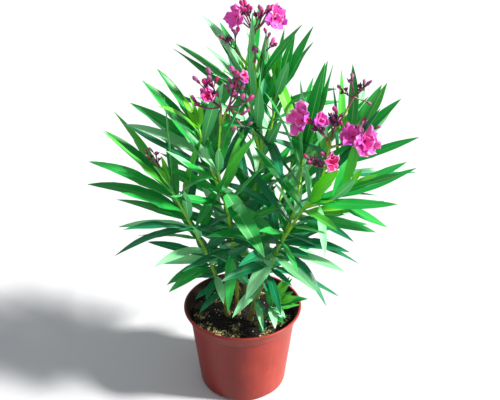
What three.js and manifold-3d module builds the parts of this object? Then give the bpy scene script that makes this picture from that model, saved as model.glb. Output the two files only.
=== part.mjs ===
// Potted oleander: a nursery pot full of compost, a clump of leaning stems with side
// boughs, masses of narrow leaves set in threes round the shoots, and heads of blossom.
// Millimetres, +Z up, origin at the centre of the pot's flat underside, -Y to the front.
import * as THREE from 'three';
import { mergeVertices } from 'three/addons/utils/BufferGeometryUtils.js';
import Module from 'manifold-3d';

const wasm = await Module();
wasm.setup();

// Pot and compost
const potHeight = 145;
const rimRadius = 95;
const shoulderRadius = 84.5;
const footRadius = 70;
const wall = 1.8;
const floorThickness = 2.5;
const collarDepth = 21;
const collarStep = 2.5;
const collarTopInset = 3;
const lipHeight = 3.2;
const lipEdge = 0.6;
const lipWidth = 3.6;
const footBevel = 4;
const slopeHeight = 1.5;
const potSides = 36;
const compostSides = potSides / 2;
const compostTop = 128;
const potClearance = 1;
const compostGap = 0.5;
const compostInset = 8;
const notchWidth = 12;
const notchHeight = 6;
const notchDepth = 14;
const notchAngles = [-20, 70, 160, 250];

// Limbs
const limbSides = 6;
const limbStep = 30;
const rootFlare = 2.2;
const flareHeight = 12;
const seam = 0.4;

// Foliage
const leavesInWhorl = 3;
const leafSteps = 8;
const turnPlay = 12;
const openPlay = 9;
const reachPlay = 0.13;
const droopPlay = 12;
const lobeSharpness = 45;
const tipShift = 6;
const massSeam = 1.2;
const crowding = 0.7;
const neighbourShare = 0.85;
const seamSoftening = 0.08;
const flowerPlay = 0.12;

const look = {
  pot: { color: 0xc4583f, roughness: 0.55, metalness: 0 },
  compost: { color: 0x241d19, roughness: 0.95, metalness: 0 },
  bark: { color: 0x6d7a3a, roughness: 0.8, metalness: 0 },
  leaf: { color: 0x1f7a38, roughness: 0.5, metalness: 0 },
  blossom: { color: 0xd9399f, roughness: 0.6, metalness: 0 },
};

// Each shoot is a limb with whorls of leaves between two shares of its length. open, reach
// and droop run from the lowest whorl to the highest; masses says how many whorls each takes.
const shoots = [
  {
    name: 'stem_centre',
    bough: false,
    path: [
      [-8, -5, 128.4], [-10, -7, 200], [-18, -12, 294], [-25, -17, 340], [-34, -24, 395],
      [-31, -28, 440], [-28, -30, 484],
    ],
    foot: 3.4,
    tip: 1.5,
    core: 28,
    coreEnd: 14,
    whorls: 9,
    from: 0.299,
    to: 0.742,
    turn: 288,
    open: [79, 36],
    reach: [109, 88],
    droop: [7, -3],
    seed: 6877,
    masses: [['foliage_centre_low', 4, 2], ['foliage_centre_top', 5, 2]],
  },
  {
    name: 'stem_right',
    bough: false,
    path: [
      [12, -20, 128.4], [19, -22, 162], [31, -25, 198], [43, -28, 232], [58, -30, 275],
      [93, -30, 338], [107, -30, 358], [120, -28, 400], [126, -23, 434],
    ],
    foot: 4,
    tip: 1.7,
    core: 28,
    coreEnd: 14,
    whorls: 10,
    from: 0.295,
    to: 0.715,
    turn: 46,
    open: [82, 58],
    reach: [101, 134],
    droop: [21, 1],
    seed: 979,
    masses: [['foliage_right_low', 5, 2], ['foliage_right_top', 5, 2]],
  },
  {
    name: 'stem_left',
    bough: false,
    path: [
      [-24, -8, 128.4], [-34, -10, 181], [-45, -12, 216], [-57, -14, 254], [-80, -16, 306],
      [-103, -20, 361],
    ],
    foot: 3.3,
    tip: 1.7,
    core: 28,
    coreEnd: 14,
    whorls: 10,
    from: 0.32,
    to: 0.98,
    turn: 55,
    open: [73, 23],
    reach: [91, 140],
    droop: [32, 6],
    seed: 6034,
    masses: [['foliage_left_low', 5, 2], ['foliage_left_top', 5, 3]],
  },
  {
    name: 'stem_back',
    bough: false,
    path: [[6, 40, 128.4], [4, 42, 230], [15, 46, 310], [30, 52, 385], [24, 45, 470], [15, 41, 562]],
    foot: 3.6,
    tip: 1.5,
    core: 28,
    coreEnd: 14,
    whorls: 5,
    from: 0.273,
    to: 0.569,
    turn: 170,
    open: [68, 22],
    reach: [135, 121],
    droop: [-9, 14],
    seed: 6200,
    masses: [['foliage_back_middle', 5, 2]],
  },
  {
    name: 'stem_rear_left',
    bough: false,
    path: [[-6, 44, 128.4], [-20, 64, 200], [-40, 92, 290], [-62, 112, 360]],
    foot: 3.2,
    tip: 1.7,
    core: 28,
    coreEnd: 14,
    whorls: 6,
    from: 0.21,
    to: 1,
    turn: 341,
    open: [71, 31],
    reach: [106, 140],
    droop: [13, 7],
    seed: 9984,
    masses: [['foliage_rear_left', 6, 3]],
  },
  {
    name: 'stem_rear_right',
    bough: false,
    path: [[22, 40, 128.4], [40, 60, 210], [64, 88, 300], [88, 108, 365]],
    foot: 3.2,
    tip: 1.7,
    core: 28,
    coreEnd: 14,
    whorls: 6,
    from: 0.15,
    to: 0.88,
    turn: 28,
    open: [45, 23],
    reach: [137, 138],
    droop: [17, 30],
    seed: 7981,
    masses: [['foliage_rear_right', 6, 3]],
  },
  {
    name: 'stem_foot_right',
    bough: false,
    path: [[22, -34, 128.4], [36, -44, 152], [50, -48, 180]],
    foot: 2.2,
    tip: 1.4,
    core: 12,
    coreEnd: 8,
    whorls: 4,
    from: 0.35,
    to: 1,
    turn: 250,
    open: [85, 45],
    reach: [56, 62],
    droop: [28, 10],
    seed: 11,
    masses: [['foliage_foot_right', 4, 2]],
  },
  {
    name: 'bough_centre_left',
    bough: true,
    path: [[-24, -16, 334], [-40, -4, 372], [-56, 6, 415], [-62, 10, 445]],
    foot: 2.3,
    tip: 1.5,
    core: 28,
    coreEnd: 14,
    whorls: 5,
    from: 0.33,
    to: 0.91,
    turn: 134,
    open: [59, 34],
    reach: [140, 129],
    droop: [-11, 19],
    seed: 3398,
    masses: [['foliage_centre_left', 5, 3]],
  },
  {
    name: 'bough_right_upper',
    bough: true,
    path: [[62, -28, 285], [80, -8, 322], [86, 8, 350], [92, 22, 405]],
    foot: 2.5,
    tip: 1.5,
    core: 28,
    coreEnd: 14,
    whorls: 5,
    from: 0.22,
    to: 1,
    turn: 300,
    open: [69, 22],
    reach: [115, 140],
    droop: [31, -12],
    seed: 7661,
    masses: [['foliage_right_upper', 5, 2]],
  },
  {
    name: 'bough_right_outer',
    bough: true,
    path: [[96, -26, 340], [124, -8, 366], [142, 6, 390], [156, 14, 418]],
    foot: 2.3,
    tip: 1.5,
    core: 28,
    coreEnd: 14,
    whorls: 4,
    from: 0.5,
    to: 1,
    turn: 157,
    open: [49, 22],
    reach: [139, 123],
    droop: [7, -12],
    seed: 5873,
    masses: [['foliage_right_outer', 4, 3]],
  },
  {
    name: 'bough_right_front',
    bough: true,
    path: [[93, -30, 338], [128, -38, 352], [150, -44, 372]],
    foot: 2.2,
    tip: 1.5,
    core: 28,
    coreEnd: 14,
    whorls: 3,
    from: 0.32,
    to: 0.88,
    turn: 28,
    open: [75, 22],
    reach: [93, 98],
    droop: [11, -4],
    seed: 4899,
    masses: [['foliage_right_front', 3, 3]],
  },
  {
    name: 'bough_top_left',
    bough: true,
    path: [[30, 52, 385], [22, 51, 412], [15, 50, 450], [10, 48, 500]],
    foot: 2.3,
    tip: 1.5,
    core: 28,
    coreEnd: 14,
    whorls: 5,
    from: 0.27,
    to: 1,
    turn: 292,
    open: [44, 22],
    reach: [134, 131],
    droop: [-2, 14],
    seed: 2014,
    masses: [['foliage_top_left', 5, 3]],
  },
  {
    name: 'bough_top_right',
    bough: true,
    path: [[30, 52, 385], [38, 54, 408], [46, 55, 440], [50, 54, 480]],
    foot: 2.3,
    tip: 1.5,
    core: 28,
    coreEnd: 14,
    whorls: 5,
    from: 0.27,
    to: 0.9,
    turn: 152,
    open: [88, 31],
    reach: [119, 115],
    droop: [32, 9],
    seed: 2014,
    masses: [['foliage_top_right', 5, 3]],
  },
];

// Flower heads: the middle of each, the point its stalk grows from, the size of its core, and
// rings of lobes, each with how many there are, how steeply they rise and how far they reach.
const flowerHeads = [
  {
    name: 'flower_head_top_left',
    at: [-8, 40, 603],
    stalk: [10, 41, 566],
    core: 14,
    rings: [[5, 0, 21], [3, 50, 24]],
  },
  {
    name: 'flower_head_top_right',
    at: [46, 40, 602],
    stalk: [20, 41, 566],
    core: 15,
    rings: [[5, 0, 23], [3, 50, 24]],
  },
  {
    name: 'flower_head_top_buds',
    at: [12, 40, 610],
    stalk: [15, 41, 568],
    core: 8,
    rings: [[3, 60, 20], [3, 0, 12]],
  },
  {
    name: 'flower_head_centre_left',
    at: [-44, -30, 518],
    stalk: [-32, -30, 484],
    core: 14,
    rings: [[5, -5, 26], [3, 50, 27]],
  },
  {
    name: 'flower_head_centre_right',
    at: [0, -30, 528],
    stalk: [-22, -30, 484],
    core: 14,
    rings: [[5, -5, 24], [3, 55, 30]],
  },
  {
    name: 'flower_head_right_inner',
    at: [84, -28, 472],
    stalk: [117, -24, 434],
    core: 15,
    rings: [[5, 0, 25], [3, 50, 25]],
  },
  {
    name: 'flower_head_right_middle',
    at: [128, -26, 472],
    stalk: [126, -23, 438],
    core: 13,
    rings: [[4, 5, 22], [3, 55, 24]],
  },
  {
    name: 'flower_head_right_outer',
    at: [174, -18, 440],
    stalk: [136, -22, 436],
    core: 18,
    rings: [[6, 0, 31], [3, 50, 31]],
  },
  {
    name: 'flower_head_right_low',
    at: [116, -56, 422],
    stalk: [121, -32, 408],
    core: 12,
    rings: [[5, 0, 21], [3, 50, 18]],
  },
  {
    name: 'flower_head_right_twig',
    at: [160, 0, 510],
    stalk: [136, -12, 462],
    core: 7,
    rings: [[3, 35, 24], [2, -20, 14]],
  },
  {
    name: 'flower_head_left_faded',
    at: [-127, -25, 412],
    stalk: [-106, -21, 368],
    core: 7,
    rings: [[3, 30, 15], [3, 0, 12]],
  },
];

const group = new THREE.Group();

function addNode(name, geometry, finish) {
  const mesh = new THREE.Mesh(geometry, new THREE.MeshStandardMaterial(finish));
  mesh.name = name;
  group.add(mesh);
}

function toSolid(geometry) {
  const bare = geometry.clone();
  bare.deleteAttribute('normal');
  bare.deleteAttribute('uv');
  const merged = mergeVertices(bare, 1e-4);
  return new wasm.Manifold(new wasm.Mesh({
    numProp: 3,
    vertProperties: new Float32Array(merged.attributes.position.array),
    triVerts: new Uint32Array(merged.index.array),
  }));
}

function toGeometry(solid) {
  const mesh = solid.getMesh();
  const geometry = new THREE.BufferGeometry();
  geometry.setAttribute('position', new THREE.BufferAttribute(mesh.vertProperties, 3));
  geometry.setIndex(new THREE.BufferAttribute(mesh.triVerts, 1));
  geometry.computeVertexNormals();
  return geometry;
}

function largestBody(solid) {
  const bodies = solid.decompose();
  return bodies.reduce((best, body) => (body.volume() > best.volume() ? body : best));
}

// A repeatable number from -1 to 1, so that no two leaves are quite alike.
function wobble(seed, index) {
  const value = Math.sin(seed * 12.9898 + index * 78.233) * 43758.5453;
  return 2 * (value - Math.floor(value)) - 1;
}

function outerRadiusAt(z) {
  return THREE.MathUtils.lerp(footRadius, shoulderRadius, z / (potHeight - collarDepth));
}

function potSolid() {
  const collarFoot = potHeight - collarDepth;
  const collarRadius = shoulderRadius + collarStep;
  const profile = [
    [0, 0],
    [footRadius - footBevel, 0],
    [outerRadiusAt(footBevel), footBevel],
    [shoulderRadius, collarFoot],
    [collarRadius, collarFoot + slopeHeight],
    [rimRadius - collarTopInset, potHeight - lipHeight],
    [rimRadius, potHeight - lipHeight],
    [rimRadius - lipEdge, potHeight],
    [rimRadius - lipWidth, potHeight],
    [collarRadius - wall, collarFoot + slopeHeight + wall / 2],
    [shoulderRadius - wall, collarFoot - slopeHeight],
    [footRadius - wall, floorThickness],
    [0, floorThickness],
  ];
  const points = profile.map(([radius, z]) => new THREE.Vector2(radius, z));
  const shell = new THREE.LatheGeometry(points, potSides);
  shell.rotateX(Math.PI / 2);
  let pot = toSolid(shell);
  for (const angle of notchAngles) {
    const notch = new THREE.BoxGeometry(notchDepth, notchWidth, notchHeight * 2);
    notch.translate(footRadius, 0, 0);
    notch.rotateZ(THREE.MathUtils.degToRad(angle));
    pot = pot.subtract(toSolid(notch));
  }
  return pot;
}

function compostSolid() {
  const collarFoot = potHeight - collarDepth;
  const sideGap = wall + compostGap;
  const low = floorThickness + seam;
  const aboveNotch = notchHeight + 2;
  const profile = [
    [0, low],
    [outerRadiusAt(aboveNotch) - sideGap - compostInset, low],
    [outerRadiusAt(aboveNotch) - sideGap, aboveNotch],
    [outerRadiusAt(collarFoot) - sideGap, collarFoot - slopeHeight],
    [outerRadiusAt(collarFoot) - sideGap + seam, compostTop],
    [0, compostTop],
  ];
  const points = profile.map(([radius, z]) => new THREE.Vector2(radius, z));
  const plug = new THREE.LatheGeometry(points, compostSides);
  plug.rotateX(Math.PI / 2);
  return toSolid(plug);
}

// The room that the pot and its compost take, which no leaf or flower enters.
function potRoom() {
  const outside = rimRadius + potClearance;
  const over = potHeight + potClearance;
  const profile = [
    [0, -potClearance],
    [outside, -potClearance],
    [outside, over],
    [rimRadius - lipWidth - potClearance, over],
    [shoulderRadius - potClearance, compostTop + seam],
    [0, compostTop + seam],
  ];
  const points = profile.map(([radius, z]) => new THREE.Vector2(radius, z));
  const room = new THREE.LatheGeometry(points, potSides);
  room.rotateX(Math.PI / 2);
  return toSolid(room);
}

function limbCurve(path) {
  const points = path.map((point) => new THREE.Vector3(...point));
  return new THREE.CatmullRomCurve3(points, false, 'catmullrom', 0.5);
}

// A tapering closed tube: level at its foot, swelling into a small flare there if it is a stem.
// A stem runs on through its leaves to its tip, and a bough ends at its first whorl.
function limbSolid(shoot, grow) {
  const curve = limbCurve(shoot.path);
  const end = shoot.bough ? shoot.from : 1;
  const length = curve.getLength() * end;
  const steps = Math.max(2, Math.round(length / limbStep));
  const positions = [];
  const index = [];
  for (let ring = 0; ring <= steps; ring += 1) {
    const share = ring / steps;
    const centre = curve.getPointAt(share * end);
    const level = ring === 0 && !shoot.bough;
    const along = level ? new THREE.Vector3(0, 0, 1) : curve.getTangentAt(share * end);
    const side = new THREE.Vector3(1, 0, 0).addScaledVector(along, -along.x).normalize();
    const across = new THREE.Vector3().crossVectors(along, side);
    const flare = shoot.bough ? 0 : rootFlare * Math.exp(-share * length / flareHeight);
    const radius = THREE.MathUtils.lerp(shoot.foot, shoot.tip, share) + flare + grow;
    for (let corner = 0; corner < limbSides; corner += 1) {
      const angle = corner / limbSides * 2 * Math.PI;
      const point = centre.clone();
      point.addScaledVector(side, radius * Math.cos(angle));
      point.addScaledVector(across, radius * Math.sin(angle));
      positions.push(point.x, point.y, point.z);
    }
  }
  const foot = curve.getPointAt(0);
  const tip = curve.getPointAt(end).addScaledVector(curve.getTangentAt(end), shoot.tip / 2 + grow);
  for (const point of [foot, tip]) {
    positions.push(point.x, point.y, point.z);
  }
  const footCentre = (steps + 1) * limbSides;
  for (let corner = 0; corner < limbSides; corner += 1) {
    const next = (corner + 1) % limbSides;
    index.push(footCentre, next, corner);
    for (let ring = 0; ring < steps; ring += 1) {
      const low = ring * limbSides;
      const high = low + limbSides;
      index.push(low + corner, low + next, high + next);
      index.push(low + corner, high + next, high + corner);
    }
    const last = steps * limbSides;
    index.push(footCentre + 1, last + corner, last + next);
  }
  const geometry = new THREE.BufferGeometry();
  geometry.setAttribute('position', new THREE.Float32BufferAttribute(positions, 3));
  geometry.setIndex(index);
  return toSolid(geometry);
}

// Where the tip of one leaf ends up: out from its node at the open angle, bending down as it goes.
function leafTip(node, along, turn, open, reach, droop) {
  const side = new THREE.Vector3(1, 0, 0).addScaledVector(along, -along.x).normalize();
  const across = new THREE.Vector3().crossVectors(along, side);
  const outward = side.multiplyScalar(Math.cos(turn)).addScaledVector(across, Math.sin(turn));
  const start = along.clone().multiplyScalar(Math.cos(open)).addScaledVector(outward, Math.sin(open));
  const heading = Math.atan2(start.y, start.x);
  const rise = Math.asin(THREE.MathUtils.clamp(start.z, -1, 1));
  const tip = node.clone();
  for (let step = 1; step <= leafSteps; step += 1) {
    const slope = rise - droop * step / leafSteps;
    const level = Math.cos(slope) * reach / leafSteps;
    tip.x += level * Math.cos(heading);
    tip.y += level * Math.sin(heading);
    tip.z += Math.sin(slope) * reach / leafSteps;
  }
  return tip;
}

function whorlTips(shoot, whorl) {
  const curve = limbCurve(shoot.path);
  const share = whorl / (shoot.whorls - 1);
  const place = THREE.MathUtils.lerp(shoot.from, shoot.to, share);
  const node = curve.getPointAt(place);
  const along = curve.getTangentAt(place);
  const tips = [];
  for (let leaf = 0; leaf < leavesInWhorl; leaf += 1) {
    const index = (whorl * 4 + leaf) * 4;
    const spacing = 360 / leavesInWhorl;
    const turn = shoot.turn + whorl * spacing / 2 + leaf * spacing + turnPlay * wobble(shoot.seed, index);
    const open = THREE.MathUtils.lerp(...shoot.open, share) + openPlay * wobble(shoot.seed, index + 1);
    const stretch = 1 + reachPlay * wobble(shoot.seed, index + 2);
    const reach = THREE.MathUtils.lerp(...shoot.reach, share) * stretch;
    const droop = THREE.MathUtils.lerp(...shoot.droop, share) + droopPlay * wobble(shoot.seed, index + 3);
    const angles = [turn, open].map(THREE.MathUtils.degToRad);
    tips.push(leafTip(node, along, angles[0], angles[1], reach, THREE.MathUtils.degToRad(droop)));
  }
  return { node, along, tips };
}

// A closed uneven body round a centre: an oval core drawn out to a point at each tip.
function lobedSolid(centre, along, coreWidth, coreLength, tips, detail, grow) {
  const sphere = new THREE.IcosahedronGeometry(1, detail);
  sphere.deleteAttribute('normal');
  sphere.deleteAttribute('uv');
  const geometry = mergeVertices(sphere, 1e-4);
  const points = geometry.attributes.position;
  const lobes = tips.map((tip) => tip.clone().sub(centre));
  const lean = new THREE.Vector3();
  for (const lobe of lobes) {
    lean.addScaledVector(lobe.clone().normalize(), 1 / lobes.length);
  }
  // Corners crowd to the side that the lobes are on.
  const directions = [];
  for (let i = 0; i < points.count; i += 1) {
    const corner = new THREE.Vector3().fromBufferAttribute(points, i).normalize();
    directions.push(corner.addScaledVector(lean, crowding).normalize());
  }
  const peaks = new Map();
  lobes.forEach((lobe) => {
    const aim = lobe.clone().normalize();
    const free = directions.map((direction, i) => (peaks.has(i) ? -2 : direction.dot(aim)));
    const nearest = free.indexOf(Math.max(...free));
    peaks.set(nearest, lobe);
  });
  directions.forEach((direction, i) => {
    const lengthwise = direction.dot(along);
    const crosswise = Math.sqrt(Math.max(0, 1 - lengthwise * lengthwise));
    let radius = 1 / Math.hypot(lengthwise / coreLength, crosswise / coreWidth) + grow;
    for (const lobe of lobes) {
      const nearness = direction.dot(lobe) / lobe.length() - 1;
      const spread = lobeSharpness / (1 + seamSoftening * grow);
      radius = Math.max(radius, (lobe.length() + grow) * Math.exp(spread * nearness));
    }
    const peak = peaks.get(i);
    if (peak) {
      const aim = peak.clone().normalize();
      const gap = direction.angleTo(aim);
      const share = Math.min(1, THREE.MathUtils.degToRad(tipShift) / Math.max(gap, 1e-6));
      direction.lerp(aim, share).normalize();
      radius = Math.max(radius, peak.length() + 2 * grow);
    }
    const point = centre.clone().addScaledVector(direction, radius);
    points.setXYZ(i, point.x, point.y, point.z);
  });
  return toSolid(geometry);
}

// Shares a shoot's whorls out to its masses, low to high.
function foliagePlans(shoot) {
  let next = 0;
  return shoot.masses.map(([name, count, detail]) => {
    const whorls = Array.from({ length: count }, (_, i) => whorlTips(shoot, next + i));
    next += count;
    const low = whorls[0].node;
    const high = whorls[count - 1].node;
    return {
      name,
      detail,
      centre: low.clone().lerp(high, 0.5),
      along: whorls[Math.floor(count / 2)].along,
      coreWidth: shoot.core,
      coreLength: low.distanceTo(high) / 2 + shoot.coreEnd,
      tips: whorls.flatMap((whorl) => whorl.tips),
    };
  });
}

// A leaf that reaches into a neighbour's space draws out no lobe, so the masses stay apart.
function foliageMass(plan, plans) {
  const others = plans.filter((other) => other !== plan);
  const tips = plan.tips.filter((tip) => {
    const own = tip.distanceTo(plan.centre);
    return others.every((other) => tip.distanceTo(other.centre) > own * neighbourShare);
  });
  const { name, detail, centre, along, coreWidth, coreLength } = plan;
  const make = (grow) => lobedSolid(centre, along, coreWidth, coreLength, tips, detail, grow);
  return { name, finish: look.leaf, make };
}

function flowerMass(head) {
  const centre = new THREE.Vector3(...head.at);
  const tips = [new THREE.Vector3(...head.stalk)];
  for (const [count, rise, reach] of head.rings) {
    const height = THREE.MathUtils.degToRad(rise);
    for (let lobe = 0; lobe < count; lobe += 1) {
      const turn = (lobe / count) * 2 * Math.PI + height;
      const tip = new THREE.Vector3(Math.cos(turn), Math.sin(turn), Math.tan(height)).normalize();
      tips.push(centre.clone().addScaledVector(tip, reach * (1 + flowerPlay * wobble(count, lobe))));
    }
  }
  const up = new THREE.Vector3(0, 0, 1);
  const make = (grow) => lobedSolid(centre, up, head.core, head.core, tips, 1, grow);
  return { name: head.name, finish: look.blossom, make };
}

const pot = potSolid();
addNode('pot', toGeometry(pot), look.pot);
addNode('compost', toGeometry(compostSolid()), look.compost);

// Limbs: a bough starts on the skin of the limb that bears it.
const limbs = new Map();
for (const shoot of shoots) {
  let solid = limbSolid(shoot, 0);
  for (const earlier of limbs.values()) {
    solid = solid.subtract(earlier.grown);
  }
  limbs.set(shoot.name, { solid: largestBody(solid), grown: limbSolid(shoot, seam) });
}

// Masses: each is cut round every limb, and round the masses before it.
const plans = shoots.flatMap(foliagePlans);
const masses = [...flowerHeads.map(flowerMass), ...plans.map((plan) => foliageMass(plan, plans))];
const room = potRoom();
const placed = [];
for (const mass of masses) {
  let solid = mass.make(0).subtract(room);
  for (const limb of limbs.values()) {
    solid = solid.subtract(limb.grown);
  }
  for (const grown of placed) {
    solid = solid.subtract(grown);
  }
  placed.push(mass.make(massSeam));
  addNode(mass.name, toGeometry(largestBody(solid)), mass.finish);
}
for (const [name, limb] of limbs) {
  addNode(name, toGeometry(limb.solid), look.bark);
}

export default group;
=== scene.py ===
import math
import random
import bpy
import bmesh
import numpy as np
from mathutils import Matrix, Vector, noise


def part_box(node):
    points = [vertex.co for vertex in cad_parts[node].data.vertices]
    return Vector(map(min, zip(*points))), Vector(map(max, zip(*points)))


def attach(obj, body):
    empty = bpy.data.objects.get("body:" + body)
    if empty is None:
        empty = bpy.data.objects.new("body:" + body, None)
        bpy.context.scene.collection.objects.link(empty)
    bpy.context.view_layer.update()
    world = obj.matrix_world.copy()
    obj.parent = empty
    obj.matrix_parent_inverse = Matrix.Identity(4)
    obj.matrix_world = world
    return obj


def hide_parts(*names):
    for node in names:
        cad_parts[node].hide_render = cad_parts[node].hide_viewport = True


# Potted oleander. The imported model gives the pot, the compost and where each limb and mass of
# leaves sits; here the masses are grown again as whorls of single leaves, and the heads as blossom.
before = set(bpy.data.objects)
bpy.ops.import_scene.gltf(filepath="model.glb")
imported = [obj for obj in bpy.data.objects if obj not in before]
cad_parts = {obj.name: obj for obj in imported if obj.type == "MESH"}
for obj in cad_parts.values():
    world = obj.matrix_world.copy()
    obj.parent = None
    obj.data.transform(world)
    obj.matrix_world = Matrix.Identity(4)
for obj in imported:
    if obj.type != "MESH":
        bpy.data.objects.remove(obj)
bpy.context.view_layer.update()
mm = 0.001
print("frame loaded:", len(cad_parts), "CAD nodes")


# Colour, nodes and meshes

def linear(hexCode):
    channels = [int(hexCode[i:i + 2], 16) / 255 for i in (1, 3, 5)]
    return [c / 12.92 if c <= 0.04045 else ((c + 0.055) / 1.055) ** 2.4 for c in channels] + [1]


def feed(tree, node, links):
    for name, source in links.items():
        tree.links.new(source, node.inputs[name])


def addNode(tree, kind, settings=None, links=None):
    node = tree.nodes.new(kind)
    for name, value in (settings or {}).items():
        if name == "stops":              # places and colours along a colour ramp
            for _ in value[2:]:
                node.color_ramp.elements.new(0.5)
            for element, (place, colour) in zip(node.color_ramp.elements, value):
                element.position, element.color = place, linear(colour)
        elif isinstance(name, int) or name in node.inputs:
            node.inputs[name].default_value = value
        else:
            setattr(node, name, value)
    feed(tree, node, links or {})
    return node


def newMaterial(name, settings):
    material = bpy.data.materials.new(name)
    material.use_nodes = True
    tree = material.node_tree
    tree.nodes.clear()
    shader = addNode(tree, "ShaderNodeBsdfPrincipled", settings)
    addNode(tree, "ShaderNodeOutputMaterial", {}, {"Surface": shader.outputs["BSDF"]})
    material.diffuse_color = settings["Base Color"]
    return material, tree, shader


def addObject(name, data):
    made = bpy.data.objects.new(name, data)
    bpy.context.scene.collection.objects.link(made)
    return made


def newStore():
    return {"points": [], "faces": [], "tints": [], "count": 0, "ages": []}


def put(store, points, faces, tints, age=0.0):
    store["points"].append(points)
    store["faces"].append(np.where(faces >= 0, faces + store["count"], -1))
    store["tints"].append(np.broadcast_to(tints, len(faces)))
    store["ages"].append(np.broadcast_to(age, len(points)))
    store["count"] += len(points)


def pieceFrom(store, name, materials, smoothAngle=50):
    points = np.vstack(store["points"])
    faces = [tuple(f) if f[3] >= 0 else tuple(f[:3]) for f in np.vstack(store["faces"]).tolist()]
    mesh = bpy.data.meshes.new(name)
    mesh.from_pydata(points.tolist(), [], faces)
    mesh.polygons.foreach_set("material_index", np.concatenate(store["tints"]).astype(np.int32))
    age = mesh.attributes.new("age", "FLOAT", "POINT")
    age.data.foreach_set("value", np.concatenate(store["ages"]).astype(np.float32))
    for material in materials:
        mesh.materials.append(material)
    mesh.validate()
    mesh.shade_smooth()
    mesh.set_sharp_from_angle(angle=math.radians(smoothAngle))
    return addObject(name, mesh)


def place(piece, slot, *nodes):
    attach(piece, "root")
    if nodes:
        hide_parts(*nodes)
    return piece


def unit(vector):
    return vector / max(np.linalg.norm(vector), 1e-12)


def turned(vector, axis, angle):
    return (vector * math.cos(angle) + np.cross(axis, vector) * math.sin(angle)
            + axis * (vector @ axis) * (1 - math.cos(angle)))


def wobble(seed, index):
    value = math.sin(seed * 12.9898 + index * 78.233) * 43758.5453
    return 2 * (value - math.floor(value)) - 1


def mix(ends, share):
    return ends[0] + (ends[1] - ends[0]) * share


# A thin closed sheet over a grid of points: a top, an underside and a rim all round.
sheetFaces = {}


def sheetLayout(rows, cols):
    if (rows, cols) not in sheetFaces:
        i, j = np.meshgrid(np.arange(rows - 1), np.arange(cols - 1), indexing="ij")
        a = (i * cols + j).ravel()
        under = rows * cols
        top = np.stack([a, a + cols, a + cols + 1, a + 1], 1)
        low = np.stack([a + under, a + under + 1, a + under + cols + 1, a + under + cols], 1)
        r = np.arange(rows - 1) * cols
        c = np.arange(cols - 1)
        last = (rows - 1) * cols
        rim = np.vstack([
            np.stack([r, r + under, r + under + cols, r + cols], 1),
            np.stack([r, r + cols, r + under + cols, r + under], 1) + cols - 1,
            np.stack([c, c + 1, c + under + 1, c + under], 1),
            np.stack([last + c, last + c + under, last + c + under + 1, last + c + 1], 1),
        ])
        sheetFaces[rows, cols] = np.vstack([top, low, rim]), len(rim)
    return sheetFaces[rows, cols]


def addSheet(store, grid, thickness, topTints, underTints):
    rows, cols = grid.shape[:2]
    faces, rimCount = sheetLayout(rows, cols)
    normal = np.cross(np.gradient(grid, axis=0), np.gradient(grid, axis=1))
    normal /= np.maximum(np.linalg.norm(normal, axis=2, keepdims=True), 1e-12)
    half = normal * (np.asarray(thickness)[..., None] / 2)
    points = np.vstack([(grid + half).reshape(-1, 3), (grid - half).reshape(-1, 3)])
    shape = (rows - 1, cols - 1)      # tints are one a column, or one a row and column
    topTints, underTints = (np.broadcast_to(t, shape).ravel() for t in (topTints, underTints))
    tints = np.concatenate([topTints, underTints, np.full(rimCount, underTints[0])])
    put(store, points, faces, tints)


# A closed tube along a line of centres; radii are one number a ring, or one a ring and side.
def addTube(store, centres, radii, sides, tint, age=0.0, ringTints=None):
    centres = np.asarray(centres, float)
    rings = len(centres)
    radii = np.asarray(radii, float)
    radii = np.repeat(radii[:, None], sides, 1) if radii.ndim == 1 else radii
    tangents = np.gradient(centres, axis=0)
    side = unit(np.cross(tangents[0], [0.31, 0.95, 0.05]))
    angles = np.arange(sides) / sides * 2 * math.pi
    points = []
    for ring in range(rings):
        along = unit(tangents[ring])
        side = unit(side - along * (side @ along))
        across = np.cross(along, side)
        out = np.outer(np.cos(angles), side) + np.outer(np.sin(angles), across)
        points.append(centres[ring] + out * radii[ring][:, None])
    points = np.vstack(points + [centres[:1], centres[-1:]])
    s = np.arange(sides)
    n = (s + 1) % sides
    bands = [np.stack([r * sides + s, r * sides + n, (r + 1) * sides + n, (r + 1) * sides + s], 1)
             for r in range(rings - 1)]
    foot, last = rings * sides, (rings - 1) * sides
    none = np.full(sides, -1)
    faces = np.vstack(bands + [np.stack([np.full(sides, foot), n, s, none], 1),
                               np.stack([np.full(sides, foot + 1), last + s, last + n, none], 1)])
    tints = np.full(len(faces), tint)
    if ringTints is not None:
        tints[:len(bands) * sides] = np.repeat(ringTints, sides)
        tints[-sides:] = ringTints[-1]
    ages = np.broadcast_to(age, rings)
    ages = np.concatenate([np.repeat(ages, sides), ages[:1], ages[-1:]])
    put(store, points, faces, tints, ages)


# A limb's line: a smooth curve through its points, read off by share of its length.
def smoothLine(points, steps=24):
    p = np.array(points, float)
    p = np.vstack([2 * p[0] - p[1], p, 2 * p[-1] - p[-2]])
    s = np.linspace(0, 1, steps, endpoint=False)[:, None]
    spans = [0.5 * (2 * b + (c - a) * s + (2 * a - 5 * b + 4 * c - d) * s ** 2
                    + (3 * b - a - 3 * c + d) * s ** 3)
             for a, b, c, d in zip(p, p[1:], p[2:], p[3:])]
    return np.vstack(spans + [p[-2:-1]])


def readLine(line, shares):
    run = np.concatenate([[0], np.cumsum(np.linalg.norm(np.diff(line, axis=0), axis=1))])
    at = np.asarray(shares) * run[-1]
    return np.stack([np.interp(at, run, line[:, i]) for i in range(3)], -1)


def lineLength(line):
    return np.linalg.norm(np.diff(line, axis=0), axis=1).sum()


# Light, floor and camera

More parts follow.
